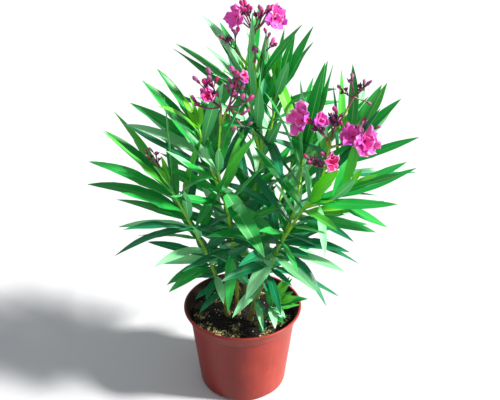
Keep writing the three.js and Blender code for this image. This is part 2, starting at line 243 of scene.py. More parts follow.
studio = {
    "lens": 55.94,          # mm on a 36 mm sensor
    "eye": (0.012, -1.040, 0.875),
    "tiltDown": 27.5,       # degrees below level
    "floor": "#c4c6cc",
    "floorReach": 9,        # m each way from the middle
    "sky": "#ffffff",
    "skyStrength": 0.47,
    "key": {"from": (1.75, -0.32, 1.65), "strength": 7.9, "angle": 8, "colour": "#fffbf4"},
    "aim": (0, 0, 0.3),     # where both lamps point
    "fill": {"from": (-0.4, -1.6, 1.4), "size": 1.2, "watts": 3, "colour": "#f2f6ff"},
}

scene = bpy.context.scene
scene.view_settings.view_transform = "Standard"
cameraData = bpy.data.cameras.new("camera")
cameraData.lens = studio["lens"]
cameraData.sensor_width = 36
camera = addObject("camera", cameraData)
camera.location = studio["eye"]
camera.rotation_euler = (math.radians(90 - studio["tiltDown"]), 0, 0)
scene.camera = camera

world = bpy.data.worlds.new("paleStudio")
world.use_nodes = True
background = world.node_tree.nodes["Background"]
background.inputs["Color"].default_value = linear(studio["sky"])
background.inputs["Strength"].default_value = studio["skyStrength"]
scene.world = world

aim = Vector(studio["aim"])
keyData = bpy.data.lights.new("key", "SUN")
keyData.energy = studio["key"]["strength"]
keyData.angle = math.radians(studio["key"]["angle"])
fillData = bpy.data.lights.new("fill", "AREA")
fillData.energy = studio["fill"]["watts"]
fillData.size = studio["fill"]["size"]
for name, lampData in (("key", keyData), ("fill", fillData)):
    lamp = studio[name]
    lampData.color = linear(lamp["colour"])[:3]
    lampObject = addObject(name, lampData)
    lampObject.location = lamp["from"]
    lampObject.rotation_euler = (aim - Vector(lamp["from"])).to_track_quat("-Z", "Y").to_euler()

# Matt painted board: an even pale ground that takes a soft shadow.
floorPaint = newMaterial("matt_painted_board", {
    "Base Color": linear(studio["floor"]), "Roughness": 0.9, "IOR": 1.5})[0]
floorMesh = bpy.data.meshes.new("floor")
reach = studio["floorReach"]
floorCorners = [(-reach, -reach, 0), (reach, -reach, 0), (reach, reach, 0), (-reach, reach, 0)]
floorMesh.from_pydata(floorCorners, [], [(0, 1, 2, 3)])
floorMesh.materials.append(floorPaint)
floor = addObject("floor", floorMesh)
print("studio ready")


# Pot

potLow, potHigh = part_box("pot")
compostLow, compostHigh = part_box("compost")
pot = {
    "height": potHigh.z,
    "rim": (potHigh.x - potLow.x) / 2,
    "shoulder": 84.5 * mm,
    "foot": 70 * mm,
    "wall": 1.8 * mm,
    "collar": 21 * mm,       # depth of the plain band under the rim
    "step": 2.5 * mm,        # how far the band stands out from the wall below
    "lip": 3.2 * mm,
    "lipWidth": 3.6 * mm,
    "bandInset": 3 * mm,     # how far the top of the band stays inside the lip
    "footBevel": 4 * mm,
    "base": 2.5 * mm,
    "ringWidth": 16 * mm,    # the foot ring that the pot stands on
    "ringRise": 1.2 * mm,    # how far the underside inside it is raised
    "segments": 168,
    "notchAngles": (-20, 70, 160, 250),
    "notchWidth": 12 * mm,
    "notchHeight": 6 * mm,
    "notchDepth": 14 * mm,
    "clay": "#a03a2e",
    "pale": "#ac4638",
    "dark": "#912f26",
    "splash": "#5a2c22",
    "shadeAndFilm": 20 * mm,         # how far the darkened inside of the wall, painted shade and compost film, reaches below the compost
    "paintedShadeSide": "#b8847a",    # painted shade: the side away from the key light is darkened to this share of the colour
    "paintedShadeFrom": -14 * mm,    # across the pot, from where the painted shade is full to where it has gone
    "paintedShadeTo": 44 * mm,
}


def potWall(z):
    share = z / (pot["height"] - pot["collar"])
    return mix((pot["foot"], pot["shoulder"]), share)


def roundedProfile(corners, radius=1.4 * mm, steps=4):
    # each corner of the profile is turned on a small arc, so that it catches a line of light
    out = []
    for i, corner in enumerate(corners):
        if i in (0, len(corners) - 1):
            out.append(corner)
            continue
        p, a, b = (np.array(c) for c in (corner, corners[i - 1], corners[i + 1]))
        size = min(radius, 0.45 * np.linalg.norm(a - p), 0.45 * np.linalg.norm(b - p))
        start, end = p + unit(a - p) * size, p + unit(b - p) * size
        for step in range(steps + 1):
            s = step / steps
            out.append(tuple((1 - s) ** 2 * start + 2 * s * (1 - s) * p + s ** 2 * end))
    return out


def latheMesh(name, profile, segments):
    angles = np.arange(segments) / segments * 2 * math.pi
    points, faces = [], []
    for radius, z in profile[1:-1]:
        points += [(radius * math.cos(a), radius * math.sin(a), z) for a in angles]
    rings = len(profile) - 2
    points += [(0, 0, profile[0][1]), (0, 0, profile[-1][1])]
    for s in range(segments):
        n = (s + 1) % segments
        faces.append((rings * segments, n, s))
        for r in range(rings - 1):
            low, high = r * segments, (r + 1) * segments
            faces.append((low + s, low + n, high + n, high + s))
        faces.append((rings * segments + 1, (rings - 1) * segments + s, (rings - 1) * segments + n))
    mesh = bpy.data.meshes.new(name)
    mesh.from_pydata(points, [], faces)
    return mesh


def buildPot():
    collarFoot = pot["height"] - pot["collar"]
    shoulder = potWall(collarFoot)
    wall = pot["wall"]
    band = shoulder + pot["step"]
    corners = [
        (0, pot["ringRise"]), (pot["foot"] - pot["ringWidth"], pot["ringRise"]),
        (pot["foot"] - pot["ringWidth"] - 1.5 * mm, 0),
        (pot["foot"] - pot["footBevel"], 0), (potWall(pot["footBevel"]), pot["footBevel"]),
        (potWall(collarFoot * 0.5), collarFoot * 0.5), (shoulder, collarFoot),
        (band, collarFoot + 1.5 * mm),
        (pot["rim"] - pot["bandInset"], pot["height"] - pot["lip"] - 0.2 * mm),
        (pot["rim"], pot["height"] - pot["lip"]), (pot["rim"] - 0.2 * mm, pot["height"]),
        (pot["rim"] - pot["lipWidth"], pot["height"]), (band - wall, collarFoot + 2.4 * mm),
        (shoulder - wall, collarFoot - 1.5 * mm),
        (pot["foot"] - wall, pot["base"]), (0, pot["base"]),
    ]
    mesh = latheMesh("pot_moulded", roundedProfile(corners), pot["segments"])
    piece = addObject("pot_moulded", mesh)
    cutters = bmesh.new()
    for angle in pot["notchAngles"]:
        made = bmesh.ops.create_cone(cutters, cap_ends=True, segments=24,
                                     radius1=1, radius2=1, depth=1)
        turn = math.radians(angle)
        out = Vector((math.cos(turn), math.sin(turn), 0))
        side = Vector((-out.y, out.x, 0))
        for vertex in made["verts"]:
            x, y, z = vertex.co
            vertex.co = (out * (pot["foot"] + z * pot["notchDepth"])
                         + side * (x * pot["notchWidth"] / 2)
                         + Vector((0, 0, y * pot["notchHeight"])))
    cutterMesh = bpy.data.meshes.new("notches")
    cutters.to_mesh(cutterMesh)
    cutterObject = addObject("notches", cutterMesh)
    cut = piece.modifiers.new("notches", "BOOLEAN")
    cut.object = cutterObject
    cut.solver = "EXACT"
    graph = bpy.context.evaluated_depsgraph_get()
    piece.data = bpy.data.meshes.new_from_object(piece.evaluated_get(graph))
    piece.modifiers.clear()
    bpy.data.objects.remove(cutterObject)
    piece.data.shade_smooth()
    piece.data.set_sharp_from_angle(angle=math.radians(40))
    return piece


# Injection-moulded polypropylene coloured through: a satin skin with fine haze, faint drawn
# streaks up the wall from the mould, scuffs, dried splashes of compost near the rim and foot, and
# painted shade darkening the side away from the key light.
potPlastic, tree, shader = newMaterial("moulded_polypropylene_terracotta", {
    "Base Color": linear(pot["clay"]), "Roughness": 0.42, "IOR": 1.49, "Specular IOR Level": 0.3})
objectPlace = addNode(tree, "ShaderNodeTexCoord").outputs["Object"]
streaks = addNode(tree, "ShaderNodeMapping", {"Scale": (1, 1, 0.06)}, {"Vector": objectPlace})
drawn = addNode(tree, "ShaderNodeTexNoise", {"Scale": 1 / 0.006, "Detail": 3.0},
                {"Vector": streaks.outputs["Vector"]})       # 6 mm wide streaks
cloudy = addNode(tree, "ShaderNodeTexNoise", {"Scale": 1 / 0.045, "Detail": 5.0, "Roughness": 0.6},
                 {"Vector": objectPlace})                    # 45 mm haze
specks = addNode(tree, "ShaderNodeTexNoise", {"Scale": 1 / 0.0035, "Detail": 2.0},
                 {"Vector": objectPlace})                    # 3.5 mm splashes
tone = addNode(tree, "ShaderNodeValToRGB", {
    "stops": [(0.25, pot["dark"]), (0.5, pot["clay"]), (0.75, pot["pale"])]},
    {"Fac": cloudy.outputs["Fac"]})
# Painted shade: the colour is multiplied darker towards negative X, the side away from the key
# light, standing in for that side's shade.
across = addNode(tree, "ShaderNodeSeparateXYZ", {}, {"Vector": objectPlace})
paintedShadeRamp = addNode(tree, "ShaderNodeMapRange", {
    "From Min": pot["paintedShadeFrom"], "From Max": pot["paintedShadeTo"]}, {"Value": across.outputs["X"]})
paintedShadeTone = addNode(tree, "ShaderNodeValToRGB", {"stops": [(0.0, pot["paintedShadeSide"]), (1.0, "#ffffff")]},
                  {"Fac": paintedShadeRamp.outputs["Result"]})
faded = addNode(tree, "ShaderNodeMix", {"data_type": "RGBA", "blend_type": "MULTIPLY", 0: 1},
                {6: tone.outputs["Color"], 7: paintedShadeTone.outputs["Color"]})
streakTone = addNode(tree, "ShaderNodeValToRGB", {"stops": [(0.35, "#c9c4c2"), (0.6, "#ffffff")]},
                     {"Fac": drawn.outputs["Fac"]})
tinted = addNode(tree, "ShaderNodeMix", {"data_type": "RGBA", "blend_type": "MULTIPLY", 0: 0.25},
                 {6: faded.outputs[2], 7: streakTone.outputs["Color"]})
dirtMask = addNode(tree, "ShaderNodeMapRange", {"From Min": 0.66, "From Max": 0.74, "To Max": 0.5},
                   {"Value": specks.outputs["Fac"]})
dirty = addNode(tree, "ShaderNodeMix", {"data_type": "RGBA", 7: linear(pot["splash"])},
                {0: dirtMask.outputs["Result"], 6: tinted.outputs[2]})
haze = addNode(tree, "ShaderNodeMapRange", {
    "From Min": 0.3, "From Max": 0.7, "To Min": 0.34, "To Max": 0.52},
    {"Value": cloudy.outputs["Fac"]})
grain = addNode(tree, "ShaderNodeBump", {"Strength": 0.12, "Distance": 0.0004},
                {"Height": drawn.outputs["Fac"]})
feed(tree, shader, {"Base Color": dirty.outputs[2], "Roughness": haze.outputs["Result"],
                    "Normal": grain.outputs["Normal"]})

# The same plastic inside the wall, darkened nearly to black: painted shade of the pot's mouth, with
# a film of dried compost and water marks.
potInside, tree, shader = newMaterial("polypropylene_with_painted_shade_and_compost_film", {
    "Base Color": linear("#34130f"), "Roughness": 0.7, "IOR": 1.49})
objectPlace = addNode(tree, "ShaderNodeTexCoord").outputs["Object"]
shadeAndFilm = addNode(tree, "ShaderNodeTexNoise", {"Scale": 1 / 0.009, "Detail": 5.0, "Roughness": 0.65},
               {"Vector": objectPlace})                      # 9 mm water marks
shadeAndFilmTone = addNode(tree, "ShaderNodeValToRGB", {
    "stops": [(0.35, "#1b0b09"), (0.55, "#34130f"), (0.75, "#5a221a")]},
    {"Fac": shadeAndFilm.outputs["Fac"]})
feed(tree, shader, {"Base Color": shadeAndFilmTone.outputs["Color"]})

potPiece = buildPot()
potPiece.data.materials.clear()
potPiece.data.materials.append(potPlastic)
potPiece.data.materials.append(potInside)
# Faces inside the wall above the compost take the near-black inner material: painted shade of the
# pot's mouth, with a compost film.
for face in potPiece.data.polygons:
    outward = face.normal.x * face.center.x + face.normal.y * face.center.y
    inward = outward < -0.5 * face.center.xy.length
    face.material_index = int(inward and face.center.z > compostHigh.z - pot["shadeAndFilm"])
place(potPiece, "pot", "pot")
print("pot turned")


# Compost

compost = {
    "top": compostHigh.z,
    "sag": 2.5 * mm,         # how far the middle has settled
    "settled": 1.5 * mm,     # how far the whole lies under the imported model's top
    "relief": 3.2 * mm,
    "rings": 44,
    "segments": 120,
    "crumbs": 1500,
    "crumbSize": (0.8 * mm, 3.4 * mm),
    "barkChips": 560,
    "chipSize": (1.4 * mm, 5 * mm),
    "perlite": 90,
    "perliteSize": (0.9 * mm, 2.4 * mm),
    "drifts": [              # mm; bare dark compost lies between them
        (-70, -7), (-66, -38), (-44, -50), (-36, -58), (-10, -60), (-14, -38),
        (38, -56), (55, -29), (68, -18), (20, 52), (-42, 46), (60, 34)],
    "clumpSize": 13 * mm,
    "seed": 41,
}


def compostHeight(x, y):
    lumps = (noise.noise(Vector((x, y, 0.3)) / 0.021) * 0.6
             + noise.noise(Vector((x, y, 0.8)) / 0.008) * 0.4)
    fine = noise.noise(Vector((x, y, 1.7)) / 0.003) * 0.22
    edge = (math.hypot(x, y) / (compostHigh.x * 0.98)) ** 2
    return (compost["top"] - compost["sag"] * (1 - edge) + compost["relief"] * (lumps + fine)
            - compost["settled"])


def buildCompost():
    rim = pot["shoulder"] - pot["wall"] - 0.3 * mm
    rings, segments = compost["rings"], compost["segments"]
    points = [(0, 0, compostHeight(0, 0))]
    for ring in range(1, rings + 1):
        radius = rim * ring / rings
        for s in range(segments):
            a = s / segments * 2 * math.pi
            x, y = radius * math.cos(a), radius * math.sin(a)
            points.append((x, y, compostHeight(x, y)))
    low = len(points)
    footRadius = pot["foot"] - pot["wall"] - 6 * mm
    for s in range(segments):
        a = s / segments * 2 * math.pi
        points.append((footRadius * math.cos(a), footRadius * math.sin(a), compostLow.z + 4 * mm))
    points.append((0, 0, compostLow.z + 4 * mm))
    faces = []
    for s in range(segments):
        n = (s + 1) % segments
        faces.append((0, 1 + s, 1 + n))
        for ring in range(rings - 1):
            a, b = 1 + ring * segments, 1 + (ring + 1) * segments
            faces.append((a + s, b + s, b + n, a + n))
        edge = 1 + (rings - 1) * segments
        faces.append((edge + s, low + s, low + n, edge + n))
        faces.append((low + s, len(points) - 1, low + n))
    mesh = bpy.data.meshes.new("compost_fill")
    mesh.from_pydata(points, [], faces)
    mesh.shade_smooth()
    return addObject("compost_fill", mesh)


# Peat-free potting compost, damp: nearly black crumbs, browner where they have dried.
peat, tree, shader = newMaterial("damp_potting_compost", {
    "Base Color": linear("#1d1411"), "Roughness": 0.92, "IOR": 1.45})
objectPlace = addNode(tree, "ShaderNodeTexCoord").outputs["Object"]
crumbNoise = addNode(tree, "ShaderNodeTexNoise", {
    "Scale": 1 / 0.0022, "Detail": 6.0, "Roughness": 0.7},
    {"Vector": objectPlace})                                 # 2.2 mm crumbs
dryPatch = addNode(tree, "ShaderNodeTexNoise", {"Scale": 1 / 0.028, "Detail": 3.0},
                   {"Vector": objectPlace})                  # 28 mm dried patches
both = addNode(tree, "ShaderNodeMath", {"operation": "MULTIPLY"},
               {0: crumbNoise.outputs["Fac"], 1: dryPatch.outputs["Fac"]})
tone = addNode(tree, "ShaderNodeValToRGB", {
    "stops": [(0.14, "#050303"), (0.3, "#120c0a"), (0.46, "#33241b")]},
    {"Fac": both.outputs["Value"]})
rough = addNode(tree, "ShaderNodeBump", {"Strength": 0.7, "Distance": 0.0012},
                {"Height": crumbNoise.outputs["Fac"]})
feed(tree, shader, {"Base Color": tone.outputs["Color"], "Normal": rough.outputs["Normal"]})

compostPiece = buildCompost()
compostPiece.data.materials.append(peat)
place(compostPiece, "compost", "compost")


def lumpTemplate(level):
    ball = bmesh.new()
    bmesh.ops.create_icosphere(ball, subdivisions=level, radius=1)
    points = np.array([v.co for v in ball.verts])
    faces = np.array([[v.index for v in f.verts] + [-1] for f in ball.faces])
    ball.free()
    return points, faces


def scatterLumps(store, count, sizes, flatness, level, tints, rng, stretch=1.0, drifts=None):
    template, faces = lumpTemplate(level)
    limit = pot["shoulder"] - pot["wall"] - 4 * mm
    for _ in range(count):
        radius = limit * math.sqrt(rng.random())
        a = rng.uniform(0, 2 * math.pi)
        x, y = radius * math.cos(a), radius * math.sin(a)
        if drifts:
            middle = rng.choice(drifts)
            x, y = (rng.gauss(c, compost["clumpSize"] / 2) for c in middle)
            if math.hypot(x, y) > limit:
                continue
        size = rng.uniform(*sizes) / 2
        points = template * [size * stretch, size, size * flatness]
        points = points * (1 + 0.28 * np.array([[rng.uniform(-1, 1)] for _ in template]))
        turn, lean = rng.uniform(0, 2 * math.pi), rng.gauss(0, 0.35)
        c, s = math.cos(lean), math.sin(lean)
        points = points @ np.array([[c, 0, s], [0, 1, 0], [-s, 0, c]])
        c, s = math.cos(turn), math.sin(turn)
        points = points @ np.array([[c, s, 0], [-s, c, 0], [0, 0, 1]])
        centre = np.array([x, y, compostHeight(x, y) + size * flatness * 0.5])
        put(store, points + centre, faces, rng.choice(tints))


# Crumbs of the same compost, screened pine bark (dry, fibrous) and expanded perlite (chalky white).
crumbFinish = {
    "compost_crumb": ("#1a1210", 0.95),
    "dry_compost_crumb": ("#4b3426", 0.95),
    "screened_pine_bark": ("#5d5531", 0.85),
    "weathered_pine_bark": ("#a39a6a", 0.85),
    "expanded_perlite": ("#dde3e6", 0.9),
}
crumbMaterials = []
for name, (colour, dull) in crumbFinish.items():
    material, tree, shader = newMaterial(name, {"Base Color": linear(colour), "Roughness": dull})
    if name == "screened_pine_bark":
        objectPlace = addNode(tree, "ShaderNodeTexCoord").outputs["Object"]
        fibre = addNode(tree, "ShaderNodeTexNoise", {"Scale": 1 / 0.0012, "Detail": 4.0},
                        {"Vector": objectPlace})             # 1.2 mm fibres
        rough = addNode(tree, "ShaderNodeBump", {"Strength": 0.6, "Distance": 0.0006},
                        {"Height": fibre.outputs["Fac"]})
        feed(tree, shader, {"Normal": rough.outputs["Normal"]})
    crumbMaterials.append(material)

rng = random.Random(compost["seed"])
crumbs = newStore()
scatterLumps(crumbs, compost["crumbs"], compost["crumbSize"], 0.8, 1, [0, 0, 0, 1], rng)
drifts = [(x * mm, y * mm) for x, y in compost["drifts"]]
scatterLumps(crumbs, compost["barkChips"], compost["chipSize"], 0.4, 1, [2, 2, 3, 3, 1], rng,
             stretch=1.4, drifts=drifts)
scatterLumps(crumbs, compost["perlite"], compost["perliteSize"], 0.85, 1, [4], rng)
place(pieceFrom(crumbs, "compost_crumbs", crumbMaterials), "compost")
print("compost laid:", crumbs["count"], "points of crumbs")


# Limbs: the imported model's stems and boughs, with bark, nodes and leaf scars.
# path: mm, from the compost up; foot and tip: radii in mm. The whorls of leaves stand between
# two shares of the path; turn, open and droop are degrees, reach is mm, and a pair runs from
# the lowest whorl to the highest. masses: how many whorls belong to each CAD mass, low to high.

shoots = {
    "stem_centre": {
        "path": [(-8, -5, 128.4), (-10, -7, 200), (-18, -12, 294), (-25, -17, 340), (-34, -24, 395),
                 (-31, -28, 440), (-28, -30, 484)],
        "foot": 3.4, "tip": 1.5, "from": 0.299, "to": 0.742, "turn": 288,
        "open": (79, 36), "reach": (109, 88), "droop": (7, -3), "seed": 6877, "tuft": 0,
        "masses": [("foliage_centre_low", 4), ("foliage_centre_top", 5)]},
    "stem_right": {
        "path": [(12, -20, 128.4), (19, -22, 162), (31, -25, 198), (43, -28, 232), (58, -30, 275),
                 (93, -30, 338), (107, -30, 358), (120, -28, 400), (126, -23, 434)],
        "foot": 4, "tip": 1.7, "from": 0.295, "to": 0.715, "turn": 46,
        "open": (82, 58), "reach": (101, 134), "droop": (21, 1), "seed": 979, "tuft": 0,
        "masses": [("foliage_right_low", 5), ("foliage_right_top", 5)]},
    "stem_left": {
        "path": [(-24, -8, 128.4), (-34, -10, 181), (-45, -12, 216), (-57, -14, 254),
                 (-80, -16, 306), (-103, -20, 361)],
        "foot": 3.3, "tip": 1.7, "from": 0.32, "to": 0.98, "turn": 55,
        "open": (73, 23), "reach": (80, 140), "droop": (30, 6), "seed": 6034, "tuft": 4,
        "sheen": 0.88,
        "masses": [("foliage_left_low", 5), ("foliage_left_top", 5)]},
    "stem_back": {
        "path": [(6, 40, 128.4), (4, 42, 230), (15, 46, 310), (30, 52, 385), (24, 45, 470),
                 (15, 41, 562)],
        "foot": 3.6, "tip": 1.5, "from": 0.273, "to": 0.569, "turn": 170,
        "open": (68, 22), "reach": (135, 121), "droop": (-9, 14), "seed": 6200, "tuft": 0,
        "masses": [("foliage_back_middle", 5)]},
    "stem_rear_left": {
        "path": [(-6, 44, 128.4), (-20, 64, 200), (-40, 92, 290), (-62, 112, 360)],
        "foot": 3.2, "tip": 1.7, "from": 0.21, "to": 1, "turn": 341,
        "open": (71, 31), "reach": (106, 140), "droop": (13, 7), "seed": 9984, "tuft": 4,
        "masses": [("foliage_rear_left", 6)]},
    "stem_rear_right": {
        "path": [(22, 40, 128.4), (40, 60, 210), (64, 88, 300), (88, 108, 365)],
        "foot": 3.2, "tip": 1.7, "from": 0.15, "to": 0.88, "turn": 28,
        "open": (45, 23), "reach": (137, 138), "droop": (17, 30), "seed": 7981, "tuft": 4,
        "masses": [("foliage_rear_right", 6)]},
    "stem_foot_right": {
        "path": [(22, -34, 128.4), (36, -44, 152), (50, -48, 180)],
        "foot": 2.2, "tip": 1.4, "from": 0.35, "to": 1, "turn": 250,
        "open": (72, 40), "reach": (38, 48), "droop": (6, 2), "seed": 11, "tuft": 5, "fresh": 0.2,
        "masses": [("foliage_foot_right", 4)]},
    "bough_centre_left": {
        "path": [(-24, -16, 334), (-40, -4, 372), (-56, 6, 415), (-62, 10, 445)],
        "foot": 2.3, "tip": 1.5, "from": 0.33, "to": 0.91, "turn": 134,
        "open": (59, 34), "reach": (140, 129), "droop": (-11, 19), "seed": 3398, "tuft": 4,
        "masses": [("foliage_centre_left", 5)]},
    "bough_right_upper": {
        "path": [(62, -28, 285), (80, -8, 322), (86, 8, 350), (92, 22, 405)],
        "foot": 2.5, "tip": 1.5, "from": 0.22, "to": 1, "turn": 300,
        "open": (69, 22), "reach": (115, 140), "droop": (31, -12), "seed": 7661, "tuft": 4,
        "masses": [("foliage_right_upper", 5)]},
    "bough_right_outer": {
        "path": [(96, -26, 340), (124, -8, 366), (142, 6, 390), (156, 14, 418)],
        "foot": 2.3, "tip": 1.5, "from": 0.5, "to": 1, "turn": 157,
        "open": (49, 22), "reach": (139, 123), "droop": (7, -12), "seed": 5873, "tuft": 4,
        "masses": [("foliage_right_outer", 4)]},
    "bough_right_front": {
        "path": [(93, -30, 338), (128, -38, 352), (150, -44, 372)],
        "foot": 2.2, "tip": 1.5, "from": 0.32, "to": 0.88, "turn": 28,
        "open": (75, 22), "reach": (93, 98), "droop": (11, -4), "seed": 4899, "tuft": 3,
        "masses": [("foliage_right_front", 3)]},
    "bough_top_left": {
        "path": [(30, 52, 385), (22, 51, 412), (15, 50, 450), (10, 48, 500)],
        "foot": 2.3, "tip": 1.5, "from": 0.27, "to": 1, "turn": 292,
        "open": (44, 22), "reach": (134, 131), "droop": (-2, 14), "seed": 2014, "tuft": 3,
        "masses": [("foliage_top_left", 5)]},
    "bough_top_right": {
        "path": [(30, 52, 385), (38, 54, 408), (46, 55, 440), (50, 54, 480)],
        "foot": 2.3, "tip": 1.5, "from": 0.27, "to": 0.9, "turn": 152,
        "open": (88, 31), "reach": (119, 115), "droop": (32, 9), "seed": 2014, "tuft": 3,
        "masses": [("foliage_top_right", 5)]},
}

for shoot in shoots.values():
    shoot["whorls"] = sum(count for _, count in shoot["masses"])

bark = {
    "ringStep": 1.3 * mm,
    "sides": 16,
    "flare": 2.2 * mm,
    "flareHeight": 12 * mm,
    "nodeSwell": 0.55 * mm,
    "nodeWidth": 1.5 * mm,
    "furrow": 0.16 * mm,
    "nodeGap": 19 * mm,      # between old nodes on the bare part of a stem
}


def whorlShare(shoot, whorl):
    return mix((shoot["from"], shoot["to"]), whorl / (shoot["whorls"] - 1))


def nodeShares(shoot, length):
    shares = [whorlShare(shoot, whorl) for whorl in range(shoot["whorls"])]
    low = shares[0] - bark["nodeGap"] / length
    while low > 0.02:
        shares.insert(0, low)
        low -= bark["nodeGap"] / length
    high = shares[-1] + bark["nodeGap"] / length
    while high < 0.97:
        shares.append(high)
        high += bark["nodeGap"] * 1.6 / length
    return shares


def buildLimb(name, shoot):
    line = smoothLine(np.array(shoot["path"]) * mm)
    length = lineLength(line)
    rings = max(8, int(length / bark["ringStep"]))
    shares = np.linspace(0, 1, rings)
    centres = readLine(line, shares)
    stem = name.startswith("stem")
    taper = mix((shoot["foot"] * mm, shoot["tip"] * mm), shares)
    if stem:
        taper = taper + bark["flare"] * np.exp(-shares * length / bark["flareHeight"])
    angles = np.arange(bark["sides"]) / bark["sides"] * 2 * math.pi
    radii = np.repeat(taper[:, None], bark["sides"], 1)
    age = np.clip((centres[:, 2] - 0.13) / 0.33, 0, 1)
    for count, share in enumerate(nodeShares(shoot, length)):
        gap = (shares - share) * length / bark["nodeWidth"]
        swell = bark["nodeSwell"] * np.exp(-gap ** 2)
        scars = 0.75 + 0.45 * np.cos(3 * angles + count * math.pi + shoot["seed"])
        radii += swell[:, None] * scars[None, :]
    for ring in range(rings):
        for side in range(bark["sides"]):
            spot = Vector((math.cos(angles[side]) * 2.2, math.sin(angles[side]) * 2.2, ring * 0.16))
            rough = noise.noise(spot + Vector((shoot["seed"], 0, 0)))
            radii[ring, side] += bark["furrow"] * (1.2 - age[ring]) * rough
    radii[0] *= 0.96
    radii[-1] *= 0.6
    store = newStore()
    addTube(store, centres, radii, bark["sides"], 0, age)
    return store, line, length


# Oleander bark: smooth grey-olive with pale breathing pores low down, green and waxy above.
barkSkin, tree, shader = newMaterial("oleander_bark_olive_to_green", {
    "Base Color": linear("#6d7a3a"), "Roughness": 0.6, "IOR": 1.45})
objectPlace = addNode(tree, "ShaderNodeTexCoord").outputs["Object"]
ageRead = addNode(tree, "ShaderNodeAttribute", {"attribute_name": "age"})
stretch = addNode(tree, "ShaderNodeMapping", {"Scale": (1, 1, 0.3)}, {"Vector": objectPlace})
mottle = addNode(tree, "ShaderNodeTexNoise", {"Scale": 1 / 0.004, "Detail": 5.0, "Roughness": 0.65},
                 {"Vector": stretch.outputs["Vector"]})      # 4 mm mottling, drawn out lengthwise
shift = addNode(tree, "ShaderNodeMath", {"operation": "MULTIPLY_ADD", 1: 0.5},
                {0: mottle.outputs["Fac"], 2: ageRead.outputs["Fac"]})
tone = addNode(tree, "ShaderNodeValToRGB", {
    "stops": [(0.12, "#54462a"), (0.3, "#787636"), (0.5, "#7aa632"),
              (0.85, "#90cc34"), (1.0, "#a0d640")]},
    {"Fac": shift.outputs["Value"]})
pores = addNode(tree, "ShaderNodeTexVoronoi", {"Scale": 1 / 0.0035}, {"Vector": objectPlace})
poreMask = addNode(tree, "ShaderNodeMapRange", {"From Min": 0.24, "From Max": 0.12, "To Max": 0.55},
                   {"Value": pores.outputs["Distance"]})     # 3.5 mm between pores
skin = addNode(tree, "ShaderNodeMix", {"data_type": "RGBA", 7: linear("#b9b27e")},
               {0: poreMask.outputs["Result"], 6: tone.outputs["Color"]})
relief = addNode(tree, "ShaderNodeBump", {"Strength": 0.5, "Distance": 0.0005},
                 {"Height": mottle.outputs["Fac"]})
feed(tree, shader, {"Base Color": skin.outputs[2], "Normal": relief.outputs["Normal"]})

limbLines = {}
for name, shoot in shoots.items():
    store, line, length = buildLimb(name, shoot)
    limbLines[name] = line
    place(pieceFrom(store, "bark_" + name, [barkSkin]), "bark", name)
print("limbs grown:", len(limbLines))


# Leaves

leaf = {
    "width": 15.8 * mm,
    "widthPlay": 0.16,
    "thickness": 0.55 * mm,
    "midrib": 0.7 * mm,      # how much thicker the leaf is along its midrib
    "rows": 17,
    "fold": 22,              # degrees each half is raised
    "foldPlay": 7,
    "roll": 18,              # degrees the whole blade may lean to one side
    "light": (0.35, -0.62, 0.70),
    "sheenSide": (0.72, -0.16, 0.67),   # painted sheen: only blades turned this way keep the pale mint colour
    "sheenFrom": 0.35,
    "turnToLight": 0.5,      # share of the way that a blade rolls to face the light
    "mostRoll": 55,
    "twist": 26,
    "wave": 0.8 * mm,
    "turnPlay": 12,
    "openPlay": 9,
    "reachPlay": 0.13,
    "droopPlay": 12,
}
bladeShares = [0, 0.05, 0.1, 0.18, 0.3, 0.45, 0.6, 0.75, 0.88, 0.96, 1]
bladeWidths = [0.1, 0.12, 0.32, 0.62, 0.9, 1, 0.95, 0.74, 0.42, 0.16, 0.015]
crossPlaces = np.array([-1, -0.55, -0.06, 0.06, 0.55, 1])

# The waxy skin of a leathery leaf: deep green and glossy when ripe, softer and yellower when young;
# the pale mint is a painted sheen.
leafFinish = {
    "ripe_leaf_blue_green": ("#0a724a", 0.38),
    "ripe_leaf_deep_green": ("#0a8c32", 0.36),
    "grown_leaf_green": ("#1ca03c", 0.36),
    "grown_leaf_bright_green": ("#4cb83c", 0.38),
    "young_leaf_fresh_green": ("#5cc228", 0.4),
    "young_leaf_lime": ("#7ad818", 0.42),
    # painted light: brighter than the young lime, standing in for sunlight shining through the
    # youngest blade; partly the young leaf's own paler green
    "youngest_leaf_lime": ("#72f020", 0.42),
    "leaf_sheen_mint": ("#80ce94", 0.45),
    "leaf_underside_pale": ("#52b26c", 0.5),
    "leaf_midrib_pale": ("#a4d68a", 0.45),
    "leaf_midrib_ripe": ("#46aa5a", 0.42),
}


def plantFinish(finish, ior, scale, strength, sheen=None):
    # plain colours to deal out by face, each with the same fine relief in its skin
    materials = []
    for name, (colour, gloss) in finish.items():
        material, tree, shader = newMaterial(name, {
            "Base Color": linear(colour), "Roughness": gloss, "IOR": ior})
        if sheen and name.startswith(sheen[0]):
            shader.inputs["Sheen Weight"].default_value = sheen[1]
        cells = addNode(tree, "ShaderNodeTexNoise", {"Scale": 1 / scale, "Detail": 2.0},
                        {"Vector": addNode(tree, "ShaderNodeTexCoord").outputs["Object"]})
        relief = addNode(tree, "ShaderNodeBump", {"Strength": strength, "Distance": 0.0003},
                         {"Height": cells.outputs["Fac"]})
        feed(tree, shader, {"Normal": relief.outputs["Normal"]})
        materials.append(material)
    return materials, {name: number for number, name in enumerate(finish)}


leafMaterials, leafTints = plantFinish(leafFinish, 1.47, 0.0016, 0.16)     # veins 1.6 mm apart


